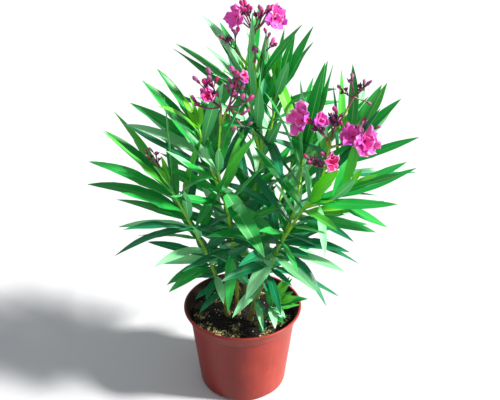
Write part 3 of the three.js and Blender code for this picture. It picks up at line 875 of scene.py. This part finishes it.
# A blade's middle line from its node: angles in degrees, droop being how far it bends down.
def leafCourse(node, along, turn, openAngle, reach, droop):
    turn, openAngle, droop = (math.radians(angle) for angle in (turn, openAngle, droop))
    steps = leaf["rows"] - 1
    side = unit(np.array([1.0, 0, 0]) - along * along[0])
    across = np.cross(along, side)
    outward = side * math.cos(turn) + across * math.sin(turn)
    start = along * math.cos(openAngle) + outward * math.sin(openAngle)
    heading = math.atan2(start[1], start[0])
    rise = math.asin(max(-1, min(1, start[2])))
    slopes = rise - droop * (np.arange(steps) + 0.5) / steps
    moves = np.stack([np.cos(slopes) * math.cos(heading), np.cos(slopes) * math.sin(heading),
                      np.sin(slopes)], 1) * reach / steps
    return np.vstack([node, node + np.cumsum(moves, axis=0)]), heading


# The blade on that line: roll leans it, twist turns it along its length, fold raises its halves.
def addLeaf(store, course, heading, width, roll, twist, fold, wave, tints, phase):
    roll, twist, fold = (math.radians(angle) for angle in (roll, twist, fold))
    course = clearOfPot(course)
    rows = len(course)
    shares = np.linspace(0, 1, rows)
    halfWidths = np.interp(shares, bladeShares, bladeWidths) * width / 2
    tangents = np.gradient(course, axis=0)
    level = np.array([-math.sin(heading), math.cos(heading), 0])
    middle = unit(tangents[rows // 2])
    light = np.array(leaf["light"])
    toLight = math.atan2(-(level @ light), np.cross(middle, level) @ light)
    limit = math.radians(leaf["mostRoll"])
    roll = roll + max(-limit, min(limit, leaf["turnToLight"] * toLight))
    grid = np.zeros((rows, len(crossPlaces), 3))
    thickness = np.zeros((rows, len(crossPlaces)))
    for row in range(rows):
        along = unit(tangents[row])
        lean = roll + twist * shares[row]
        side = turned(level, along, lean)
        up = np.cross(along, side)
        half = halfWidths[row]
        openFold = fold                  # the blade opens out of its stalk
        if shares[row] < 0.5:
            openFold = fold * math.sin(math.pi * min(1, shares[row] * 1.6 + 0.15))
        for col, spot in enumerate(crossPlaces):
            lift = abs(spot) * math.tan(openFold) - 0.30 * math.tan(openFold) * spot ** 2
            ripple = wave * math.sin(shares[row] * 11 + phase + 1.4 * spot) * spot ** 2
            grid[row, col] = (course[row] + side * spot * half
                              + up * (lift * half + ripple * half / width * 2))
        thickness[row] = (leaf["thickness"] + leaf["midrib"] * (np.abs(crossPlaces) < 0.2)
                          * (1.1 - shares[row]))
        thickness[row] = np.where(np.abs(crossPlaces) > 0.9, 0.35 * mm, thickness[row])
        if shares[row] < 0.07:
            thickness[row] = 1.5 * mm
    top, rib, under = tints
    # Painted sheen: the pale mint stays only on blades that face the key light's side; blades
    # turned away get plain grown green.
    facing = np.cross(middle, turned(level, middle, roll)) @ np.array(leaf["sheenSide"])
    if top == leafTints["leaf_sheen_mint"] and facing < leaf["sheenFrom"]:
        top = leafTints["grown_leaf_green"]
    underRib = leafTints["leaf_midrib_pale"]
    addSheet(store, grid, thickness, [top, top, rib, top, top],
             [under, under, underRib, under, under])


# A leaf that would dip into the pot lies over its rim, or just above the compost.
def clearOfPot(course):
    radius = np.hypot(course[:, 0], course[:, 1])
    aboveCompost, aboveRim = compost["top"] + 6 * mm, pot["height"] + 5 * mm
    low = np.interp(radius, [0, pot["rim"] - 26 * mm, pot["rim"] - 12 * mm, pot["rim"] + 5 * mm],
                    [aboveCompost, aboveCompost, aboveRim, aboveRim])
    low = np.where(radius > pot["rim"] + 5 * mm, 0, low)
    course[:, 2] = np.maximum(course[:, 2], low)
    for _ in range(2):
        course[1:-1] = (course[:-2] + 2 * course[1:-1] + course[2:]) / 4
    return course


# A leaf's green goes by its whorl: ripe low down and inside, brighter towards the shoot's tip.
def leafTint(freshness, draw, sheenDraw=0.6):
    scale = ["ripe_leaf_blue_green", "ripe_leaf_deep_green", "grown_leaf_green",
             "grown_leaf_bright_green", "young_leaf_fresh_green", "young_leaf_lime"]
    # Painted sheen: a share of leaves is dealt the pale mint, standing in for the sky's glare on
    # the waxy top.
    if draw > sheenDraw:
        return leafTints["leaf_sheen_mint"]
    place = freshness * 3.4 + draw * 1.5
    return leafTints[scale[int(max(0, min(len(scale) - 1, place)))]]


def growWhorls(store, shoot, line, whorls):
    for whorl in whorls:
        share = whorl / (shoot["whorls"] - 1)
        at = whorlShare(shoot, whorl)
        node, ahead, behind = readLine(line, [at, min(1, at + 0.01), max(0, at - 0.01)])
        along = unit(ahead - behind)
        for number in range(3):
            index = (whorl * 4 + number) * 4
            swing = [wobble(shoot["seed"], index + n) for n in range(4)]
            play = [wobble(shoot["seed"] + 5, index * 2 + n) for n in range(8)]
            turn = shoot["turn"] + whorl * 60 + number * 120 + leaf["turnPlay"] * swing[0]
            openAngle = mix(shoot["open"], share) + leaf["openPlay"] * swing[1]
            reach = mix(shoot["reach"], share) * (1 + leaf["reachPlay"] * swing[2])
            droop = mix(shoot["droop"], share) + leaf["droopPlay"] * swing[3]
            course, heading = leafCourse(node, along, turn, openAngle, reach * mm, droop)
            width = leaf["width"] * (1 + leaf["widthPlay"] * play[0]) * min(1, 0.45 + reach / 200)
            top = leafTint(share + shoot.get("fresh", 0), play[1], shoot.get("sheen", 0.6))
            young = top in [leafTints[n] for n in ("young_leaf_fresh_green", "young_leaf_lime",
                                                   "leaf_sheen_mint")]
            rib = leafTints["leaf_midrib_pale" if young else "leaf_midrib_ripe"]
            addLeaf(store, course, heading, width, leaf["roll"] * play[2], leaf["twist"] * play[3],
                    leaf["fold"] + leaf["foldPlay"] * play[4], leaf["wave"] * (1 + play[5]),
                    (top, rib, leafTints["leaf_underside_pale"]), 3 * play[6])


sprigs = {
    "perNode": 2,
    "reach": (46, 40),       # mm, from the lowest old node to the highest
    "open": (78, 52),
    "droop": 14,
    "width": 11 * mm,
    "shares": (0.19, 0.52),  # the part of a stem that they clothe
    "gap": 17 * mm,
}


# Short leaves from old nodes and side buds fill in the lower part of each stem.
def growSprigs(store, shoot, line):
    count = int((sprigs["shares"][1] - sprigs["shares"][0]) * lineLength(line) / sprigs["gap"])
    for level in range(count):
        share = level / max(1, count - 1)
        at = mix(sprigs["shares"], share)
        node, ahead, behind = readLine(line, [at, at + 0.01, at - 0.01])
        for number in range(sprigs["perNode"]):
            play = [wobble(shoot["seed"] + 31, (level * 4 + number) * 8 + n) for n in range(8)]
            turn = shoot["turn"] + 30 + level * 60 + number * 120 + 25 * play[0]
            reach = mix(sprigs["reach"], share) * (1 + 0.3 * play[1])
            course, heading = leafCourse(
                node, unit(ahead - behind), turn, mix(sprigs["open"], share) + 14 * play[2],
                reach * mm, sprigs["droop"] * (1 + play[3]))
            tints = (leafTint(0.25 + 0.3 * play[4], play[5]), leafTints["leaf_midrib_ripe"],
                     leafTints["leaf_underside_pale"])
            addLeaf(store, course, heading, sprigs["width"] * (1 + 0.15 * play[6]),
                    leaf["roll"] * play[7], leaf["twist"] * play[1], leaf["fold"],
                    leaf["wave"] * 0.6, tints, 3 * play[6])


tufts = {
    "reach": 58,             # mm, and each leaf shorter than the last
    "shorter": 9,
    "open": 14,
    "width": 11 * mm,
    "fold": 30,
    "spiral": 137,           # degrees from one leaf to the next
}


# Young leaves stand close together at a shoot's tip.
def growTuft(store, shoot, line):
    tip, before = readLine(line, [1, 0.96])
    for number in range(shoot["tuft"]):
        play = [wobble(shoot["seed"] + 9, number * 8 + n) for n in range(8)]
        course, heading = leafCourse(
            tip, unit(tip - before), shoot["turn"] + number * tufts["spiral"] + 15 * play[0],
            tufts["open"] + 8 * play[1],
            (tufts["reach"] - tufts["shorter"] * number + 8 * play[2]) * mm, 6 * play[3])
        top = leafTints["young_leaf_fresh_green" if play[4] > 0 else "young_leaf_lime"]
        tints = (top, leafTints["leaf_midrib_pale"], leafTints["leaf_underside_pale"])
        addLeaf(store, course, heading, tufts["width"], 0, 20 * play[5], tufts["fold"],
                leaf["wave"] * 0.5, tints, play[6])


# The leaves that give the crown its character, by limb. Each is its height on the limb, its tip and
# its width in mm, how far the blade bows up as a share of its length, and its colour.
featureLeaves = {
    "stem_left": [
        (327, (-228, -12, 366), 23, 0.06, "ripe_leaf_deep_green"),
        (345, (-219, -20, 407), 20, 0.05, "grown_leaf_green"),
        (352, (-197, 0, 446), 22, 0.04, "ripe_leaf_deep_green"),
        (290, (-194, -30, 253), 15, 0.1, "ripe_leaf_blue_green"),
        (296, (-187, -20, 298), 14, 0.05, "leaf_sheen_mint"),
        (345, (-40, -68, 404), 18, 0.1, "leaf_sheen_mint"),
        (190, (-72, -50, 188), 10, 0.05, "ripe_leaf_blue_green"),
        (236, (-116, -40, 207), 15, 0.04, "ripe_leaf_deep_green"),
    ],
    "bough_centre_left": [
        (400, (-172, 18, 449), 20, 0.06, "leaf_sheen_mint"),
        (412, (-165, 40, 474), 17, 0.04, "grown_leaf_green"),
        (425, (-141, 20, 514), 23, 0.03, "ripe_leaf_deep_green"),
        (443, (-117, 30, 525), 19, 0.02, "grown_leaf_green"),
    ],
    "stem_centre": [
        (372, (33, -92, 288), 31, 0.0, "ripe_leaf_deep_green"),
        (250, (-22, -62, 170), 19, 0.14, "grown_leaf_green"),
    ],
    "stem_right": [
        (246, (5, -64, 194), 23, 0.1, "leaf_sheen_mint"),
        (196, (-15, -76, 172), 15, 0.06, "leaf_sheen_mint"),
        (166, (32, -80, 150), 11, 0.12, "leaf_sheen_mint"),
        (252, (-50, -70, 311), 20, 0.14, "ripe_leaf_deep_green"),
        (262, (127, -74, 192), 20, 0.16, "ripe_leaf_blue_green"),
        (274, (159, -60, 278), 21, 0.06, "ripe_leaf_blue_green"),
        (292, (189, -20, 303), 21, 0.05, "ripe_leaf_deep_green"),
        (330, (206, -42, 354), 19, -0.04, "young_leaf_fresh_green"),
        (346, (135, -78, 420), 30, 0.0, "youngest_leaf_lime"),
    ],
    "stem_foot_right": [
        (174, (100, -60, 195), 14, 0.05, "grown_leaf_green"),
        (177, (79, -42, 196), 10, 0.04, "grown_leaf_bright_green"),
        (172, (77, -62, 186), 12, 0.08, "leaf_sheen_mint"),
        (170, (66, -74, 170), 11, 0.12, "leaf_sheen_mint"),
        (168, (50, -84, 157), 14, 0.14, "leaf_sheen_mint"),
        (178, (44, -40, 213), 9, 0.02, "young_leaf_fresh_green"),
        (176, (64, -40, 209), 9, 0.03, "young_leaf_fresh_green"),
    ],
    "bough_right_outer": [
        (348, (258, -2, 388), 21, -0.05, "ripe_leaf_deep_green"),
        (400, (232, 30, 484), 19, 0.03, "ripe_leaf_deep_green"),
        (405, (204, 40, 502), 19, 0.03, "grown_leaf_green"),
    ],
    "bough_right_upper": [
        (392, (117, 10, 545), 24, 0.02, "leaf_sheen_mint"),
        (400, (83, 16, 517), 21, 0.02, "leaf_sheen_mint"),
        (372, (32, -40, 519), 20, 0.07, "grown_leaf_green"),
    ],
    "bough_top_right": [
        (470, (103, 60, 583), 14, 0.03, "grown_leaf_green"),
        (440, (61, 50, 582), 18, 0.03, "grown_leaf_bright_green"),
        (452, (77, 62, 575), 17, 0.03, "leaf_sheen_mint"),
    ],
    "stem_back": [
        (462, (36, 36, 585), 17, 0.03, "leaf_sheen_mint"),
        (450, (34, 34, 560), 20, 0.02, "ripe_leaf_deep_green"),
        (455, (-16, 4, 565), 21, 0.05, "leaf_sheen_mint"),
    ],
    "bough_top_left": [
        (470, (-95, 60, 557), 17, 0.04, "grown_leaf_green"),
        (490, (-47, 50, 596), 17, 0.03, "grown_leaf_bright_green"),
    ],
}


def growFeatures(store, name, line):
    for number, (height, tip, width, sag, tint) in enumerate(featureLeaves.get(name, [])):
        base = np.array([np.interp(height * mm, line[:, 2], line[:, i]) for i in range(3)])
        tip = np.array(tip) * mm
        bow = mix((base, tip), 0.45) + np.array([0, 0, 2 * sag]) * np.linalg.norm(tip - base)
        s = np.linspace(0, 1, leaf["rows"])[:, None]
        course = (1 - s) ** 2 * base + 2 * s * (1 - s) * bow + s ** 2 * tip
        heading = math.atan2(tip[1] - base[1], tip[0] - base[0])
        play = [wobble(number + 3, n) for n in range(4)]
        dark = tint.startswith(("ripe", "grown"))
        rib = leafTints["leaf_midrib_ripe" if dark else "leaf_midrib_pale"]
        # the youngest blade takes its painted backlight colour on its underside as well
        under = leafTints[tint if tint.startswith("youngest") else "leaf_underside_pale"]
        addLeaf(store, course, heading, width * mm, 10 * play[0], 12 * play[1], leaf["fold"],
                leaf["wave"], (leafTints[tint], rib, under), 3 * play[2])


leafCount = 0
for name, shoot in shoots.items():
    nextWhorl = 0
    for massName, count in shoot["masses"]:
        store = newStore()
        if nextWhorl == 0:
            growFeatures(store, name, limbLines[name])
            if name.startswith("stem") and "foot" not in name:
                growSprigs(store, shoot, limbLines[name])
        growWhorls(store, shoot, limbLines[name], range(nextWhorl, nextWhorl + count))
        nextWhorl += count
        if nextWhorl == shoot["whorls"]:
            growTuft(store, shoot, limbLines[name])
        leafCount += len(store["points"])
        leaves = pieceFrom(store, massName.replace("foliage", "leaves"), leafMaterials)
        place(leaves, "leaf", massName)
print("leaves grown:", leafCount)


# Blossom: each head is a branching stalk with open blooms, furled buds and faded ones.
# at: the head's middle; foot and fork: where its stalk leaves the shoot and where it divides
# (mm). blooms: place from the middle, the way the flower faces, its radius in mm, how far it
# is open. arms: the end from the middle, then how many buds and faded flowers it carries.

blossom = {
    "petalRows": 9,
    "petalCols": 9,
    "petalThickness": 0.5 * mm,
    "ruffle": 2.4 * mm,
    "throatAngle": (12, 36),     # degrees from the flower's axis, half open and fully open
    "rimAngle": (38, 98),
    "budLength": 14 * mm,
    "budWidth": 6.4 * mm,
    "pedicel": 6 * mm,
    "stalk": 2.2 * mm,
    "twig": 1.1 * mm,
}
petalShares = [0, 0.15, 0.35, 0.55, 0.75, 0.9, 1]
petalWidths = [0.2, 0.28, 0.52, 0.86, 1, 0.86, 0.46]
heads = {
    "flower_head_top_left": {
        "at": (-8, 40, 603), "foot": (15, 41, 556), "fork": (17, 41, 583),
        "seed": 3,
        "blooms": [((3, -9, 1), (-0.6, -0.75, 0.2), 15, 0.95)],
        "arms": [((13, -2, 5), 4, 0), ((6, -3, -4), 3, 0)]},
    "flower_head_top_right": {
        "at": (46, 40, 602), "foot": (16, 41, 560), "fork": (20, 41, 582),
        "seed": 4,
        "blooms": [((-1, -9, 0), (0.5, -0.85, 0.05), 17, 1.0)],
        "arms": [((-17, -1, 1), 4, 0), ((-10, -4, 5), 2, 0)]},
    "flower_head_top_buds": {
        "at": (12, 40, 610), "foot": (16, 41, 560), "fork": (18, 41, 585),
        "seed": 5,
        "arms": [((-3, 1, -3), 3, 1), ((11, 3, -13), 2, 1)]},
    "flower_head_centre_left": {
        "at": (-44, -30, 518), "foot": (-29, -30, 466), "fork": (-28, -31, 494),
        "seed": 6, "petals": "petal_crimson",
        "blooms": [((2, -10, -4), (-0.35, -0.85, 0.35), 12, 0.4)],
        "arms": [((4, -4, 16), 4, 0), ((-8, -4, 7), 4, 0), ((14, -6, -9), 3, 0),
                 ((-2, -7, -5), 3, 1), ((-18, -4, -20), 3, 0)]},
    "flower_head_centre_right": {
        "at": (0, -30, 528), "foot": (-26, -30, 470), "fork": (-17, -32, 496),
        "seed": 7, "petals": "petal_crimson",
        "blooms": [((-1, -7, 11), (0.6, -0.6, 0.5), 12, 0.4)],
        "arms": [((-8, -4, 11), 4, 0), ((1, -5, 0), 4, 0), ((-13, -4, -12), 4, 0),
                 ((2, -6, -28), 2, 0), ((2, -6, -44), 2, 0), ((3, -6, -62), 1, 0),
                 ((-15, -7, -62), 1, 0)]},
    "flower_head_right_inner": {
        "at": (84, -28, 472), "foot": (124, -24, 428), "fork": (121, -28, 448),
        "seed": 8,
        "blooms": [((3, -10, 4), (-0.75, -0.55, 0.4), 21, 0.9),
                   ((25, -8, 2), (0.15, -0.8, 0.55), 13, 0.45)],
        "arms": [((21, -6, -9), 1, 4), ((16, -7, 2), 1, 2)]},
    "flower_head_right_middle": {
        "at": (128, -26, 472), "foot": (126, -23, 428), "fork": (128, -26, 450),
        "seed": 9,
        "arms": [((-2, -2, 3), 0, 6), ((6, -2, 7), 1, 5), ((3, -4, -3), 0, 4)]},
    "flower_head_right_outer": {
        "at": (174, -18, 440), "foot": (127, -23, 430), "fork": (142, -25, 436),
        "seed": 10,
        "blooms": [((-3, -14, 4), (0.35, -0.85, 0.2), 23, 1.0),
                   ((-17, -12, 8), (-0.3, -0.75, 0.6), 18, 0.7)],
        "arms": [((-31, -8, 16), 3, 0), ((-6, -8, 22), 2, 1), ((8, -6, 16), 1, 0)]},
    "flower_head_right_low": {
        "at": (116, -56, 422), "foot": (121, -30, 400), "fork": (114, -46, 410),
        "seed": 11, "petals": "petal_crimson",
        "blooms": [((4, -4, 2), (0.4, -0.75, 0.35), 14, 0.55)],
        "arms": [((-19, 0, -1), 2, 7), ((1, -2, 8), 2, 0)]},
    "flower_head_right_twig": {
        "at": (160, 0, 510), "foot": (134, -14, 450), "fork": (158, -5, 500),
        "seed": 12, "small": 0.8, "dusky": True,
        "arms": [((-5, 0, 7), 1, 1), ((13, 0, 3), 4, 3), ((14, -4, -16), 1, 0),
                 ((-14, 4, -8), 1, 3)]},
    "flower_head_left_faded": {
        "at": (-127, -25, 412), "foot": (-106, -21, 368), "fork": (-118, -24, 396),
        "seed": 13, "small": 0.65, "dusky": True,
        "arms": [((-6, 0, 4), 2, 2), ((4, 0, 8), 1, 2), ((6, -2, -4), 1, 1)]},
    "side_left": {
        "at": (-14, 30, 572), "foot": (8, 44, 530), "fork": (-8, 33, 556),
        "seed": 14, "small": 0.9,
        "arms": [((5, -2, 6), 3, 0), ((-6, -2, -2), 1, 4)]},
    "side_right": {
        "at": (36, 46, 564), "foot": (22, 42, 520), "fork": (31, 44, 550),
        "seed": 15, "small": 0.9,
        "arms": [((0, -2, 6), 2, 0), ((4, -2, -8), 2, 0)]},
    "side_withered": {
        "at": (20, 22, 554), "foot": (16, 41, 520), "fork": (19, 28, 546),
        "seed": 16, "small": 0.8,
        "arms": [((0, -2, 2), 0, 4)]},
}

# Petals are thin, soft and matt, with a paler edge; buds are furled tight and waxy.
blossomFinish = {
    "petal_magenta_pink": ("#e044aa", 0.55),
    "petal_violet_pink": ("#cc55d0", 0.55),
    "petal_pale_pink": ("#ec90d0", 0.6),
    "petal_crimson": ("#d0186a", 0.5),
    "petal_throat_crimson": ("#b00e5c", 0.5),
    "bud_crimson": ("#ac1a6a", 0.4),
    "bud_rose": ("#c44a96", 0.42),
    "bud_dusky_mauve": ("#8f4a78", 0.5),
    "sepal_purple_brown": ("#5c2846", 0.55),
    "faded_bloom_dusky": ("#4a1f38", 0.85),
    "stalk_yellow_green": ("#86a336", 0.5),
    "stalk_red_brown": ("#7d4648", 0.5),
    "stalk_purple": ("#6a3852", 0.5),
}
flowerMaterials, flowerTints = plantFinish(        # 1.4 mm veining, coarser than life
    blossomFinish, 1.42, 0.0014, 0.2, sheen=("petal", 0.1))


def sideOf(axis):
    return unit(np.cross(axis, [0.31, 0.22, 0.92]))


# A petal rises from the throat, then bends outward and ruffles at its edge.
def addPetal(store, centre, axis, turn, length, width, openness, tints, seed):
    rows, cols = blossom["petalRows"], blossom["petalCols"]
    out = turned(sideOf(axis), axis, turn)
    cross = np.cross(axis, out)
    start, end = (math.radians(mix(blossom[key], openness)) for key in ("throatAngle", "rimAngle"))
    shares = np.linspace(0, 1, rows)
    widths = np.interp(shares, petalShares, petalWidths) * width / 2
    size = length / (18 * mm)
    grid = np.zeros((rows, cols, 3))
    at = np.array(centre, float)
    for row, s in enumerate(shares):
        angle = mix((start, end), s)
        ahead = out * math.sin(angle) + axis * math.cos(angle)
        up = axis * math.sin(angle) - out * math.cos(angle)
        if row:
            at = at + ahead * length / (rows - 1)
        for col in range(cols):
            c = col / (cols - 1) * 2 - 1
            ruffle = math.sin(3.6 * c + seed) + 0.5 * math.sin(8 * c - seed)
            wave = blossom["ruffle"] * size * s ** 1.6 * ruffle
            aside = cross * (c * widths[row] + 0.1 * s * length)     # set like a windmill's sails
            grid[row, col] = (at + aside - ahead * length * 0.16 * c * c * s ** 2
                              + up * (wave + 0.16 * width * c * c * s))
    thickness = np.full((rows, cols), blossom["petalThickness"])
    edge, body, throat = tints
    face = np.full((rows - 1, cols - 1), body)
    face[:2] = throat
    face[-1:] = edge
    face[5:, 0] = face[5:, -1] = edge
    addSheet(store, grid, thickness, face, [edge] * (cols - 1))


def addBloom(store, centre, axis, radius, openness, body, seed):
    size = radius / (18 * mm)
    tubeFoot = centre - axis * radius * 0.85
    tube = [centre - axis * radius * t for t in (0.85, 0.6, 0.35, 0.15, 0.0)]
    throat = flowerTints["petal_throat_crimson"]
    addTube(store, tube, np.array([1.2, 1.4, 1.9, 2.7, 3.4]) * mm * size, 8, throat)
    rings = [(0, 5, 1.0, 1.0, openness), (0.5, 3, 0.6, 0.8, openness * 0.55)]
    for ring, (shift, count, long, wide, spread) in enumerate(rings):
        for number in range(count):
            play = [wobble(seed + ring * 17, number * 6 + n) for n in range(6)]
            edge = flowerTints["petal_violet_pink" if play[0] > 0 else "petal_pale_pink"]
            if ring and play[4] < 0:
                edge = body
            turn = (number + shift) * 2 * math.pi / count + 0.3 * play[1]
            length = radius * 1.15 * long * (1 + 0.2 * play[2])
            width = radius * 1.12 * wide * (1 + 0.12 * play[4])
            addPetal(store, centre + axis * ring * 0.8 * mm, axis, turn, length, width,
                     max(0.05, spread + 0.3 * play[3]), (edge, body, throat), 6 * play[5])
    addCalyx(store, tubeFoot, axis, size)


def addCalyx(store, foot, axis, size):
    purple = flowerTints["sepal_purple_brown"]
    line = [foot + axis * mm * size * t for t in (-1.8, -0.6, 1.0, 2.6)]
    addTube(store, line, np.array([0.7, 1.6, 2.0, 1.3]) * mm * size, 8, purple)
    for number in range(5):                                  # five pointed sepals clasp the tube
        out = turned(sideOf(axis), axis, number * 2 * math.pi / 5)
        points = [foot + (axis * high + out * wide) * mm * size
                  for high, wide in ((1.2, 1.3), (3.4, 2.1), (5.6, 2.0))]
        addTube(store, points, np.array([0.9, 0.75, 0.12]) * mm * size, 5, purple)


def addBud(store, foot, axis, size, colour):
    length, width = blossom["budLength"] * size, blossom["budWidth"] * size
    side = sideOf(axis)
    shares = np.array([0, 0.1, 0.22, 0.38, 0.54, 0.68, 0.8, 0.9, 0.97, 1])
    line = [foot + axis * length * s + side * 0.07 * length * math.sin(2.6 * s) for s in shares]
    angles = np.arange(12) / 12 * 2 * math.pi
    profile = np.array([0.34, 0.4, 0.5, 0.74, 0.96, 1.0, 0.86, 0.56, 0.26, 0.05]) * width / 2
    furl = 1 + 0.13 * np.cos(3 * angles[None, :] + 6 * shares[:, None])  # the furled petals' spiral
    ringTints = [colour if 0.2 < s < 0.85 else flowerTints["bud_dusky_mauve"] for s in shares[:-1]]
    addTube(store, line, profile[:, None] * furl, 12, colour, ringTints=ringTints)
    addCalyx(store, foot, axis, size * 0.9)


def addFaded(store, foot, axis, size, seed):
    for number in range(6):
        lean = turned(sideOf(axis), axis, number * 1.05 + seed)
        high, wide = 7 + 3 * wobble(seed, number), 3.4 + 2 * wobble(seed, number + 9)
        tip = foot + (axis * high + lean * wide) * mm * size
        middle = foot + (axis * 3.4 + lean * 2.8) * mm * size
        tint = "bud_dusky_mauve" if wobble(seed, number + 4) > 0.4 else "faded_bloom_dusky"
        addTube(store, [foot, middle, tip], np.array([1.3, 1.8, 0.35]) * mm * size, 6,
                flowerTints[tint])
    addCalyx(store, foot, axis, size)


def buildHead(head):
    store, stalks = newStore(), newStore()
    rng = random.Random(head["seed"])
    small = head.get("small", 1.0)
    centre, foot, fork = (np.array(head[key]) * mm for key in ("at", "foot", "fork"))
    up = unit(fork - foot)
    green = flowerTints["stalk_yellow_green"]
    brown, purple = flowerTints["stalk_red_brown"], flowerTints["stalk_purple"]
    trunk = smoothLine([foot, mix((foot, fork), 0.5) + sideOf(up) * 1.2 * mm, fork], 8)
    thick = np.linspace(blossom["stalk"], blossom["twig"] * 1.6, len(trunk)) * (0.4 + 0.6 * small)
    last = len(trunk) - 1
    trunkTints = [(green, green, brown)[3 * ring // last] for ring in range(last)]
    addTube(stalks, trunk, thick, 8, green, ringTints=trunkTints)

    def twigTo(start, end, thickness):
        bow = mix((start, end), 0.5) - np.array([0, 0, 0.10]) * np.linalg.norm(end - start)
        line = smoothLine([start, bow, end], 6)
        tint = purple if rng.random() < 0.55 else brown
        addTube(stalks, line, np.linspace(thickness, thickness * 0.8, len(line)), 6, tint)

    for spot, facing, radius, openness in head.get("blooms", []):
        point, axis = centre + np.array(spot) * mm, unit(np.array(facing, float))
        twigTo(fork, point - axis * radius * 0.85 * mm, blossom["twig"])
        body = flowerTints[head.get("petals", "petal_magenta_pink")]
        addBloom(store, point, axis, radius * mm, openness, body, head["seed"] + radius)
    for arm, (spot, buds, faded) in enumerate(head["arms"]):
        armEnd = centre + np.array(spot) * mm
        along = unit(armEnd - fork)
        twigTo(fork, armEnd, blossom["twig"] * 1.2 * (0.4 + 0.6 * small))
        for number in range(buds + faded):
            start = mix((armEnd, fork), 0.12 * number)
            spin = turned(sideOf(along), along, number * 2.4 + arm)
            aim = unit(along * 0.5 + spin * (0.45 + 0.35 * rng.random()) + np.array([0, 0, 0.6]))
            end = start + aim * blossom["pedicel"] * rng.uniform(0.6, 1.2) * (0.5 + 0.5 * small)
            twigTo(start, end, blossom["twig"] * 0.85)
            if number < buds:
                tint = rng.choice(("bud_crimson", "bud_crimson", "bud_rose", "bud_dusky_mauve"))
                tint = "bud_dusky_mauve" if "dusky" in head else tint
                addBud(store, end, aim, rng.uniform(0.72, 1.05) * small, flowerTints[tint])
            else:
                addFaded(store, end, aim, rng.uniform(0.75, 1.05) * small, number + head["seed"])
    return store, stalks


for name, head in heads.items():
    store, stalks = buildHead(head)
    short = name.replace("flower_head_", "")
    node = [name] if name != short else []          # the side sprays are too small for a CAD solid
    place(pieceFrom(store, "blossom_" + short, flowerMaterials), "blossom", *node)
    place(pieceFrom(stalks, "stalks_" + short, flowerMaterials), "bark")
print("blossom set:", len(heads), "heads")
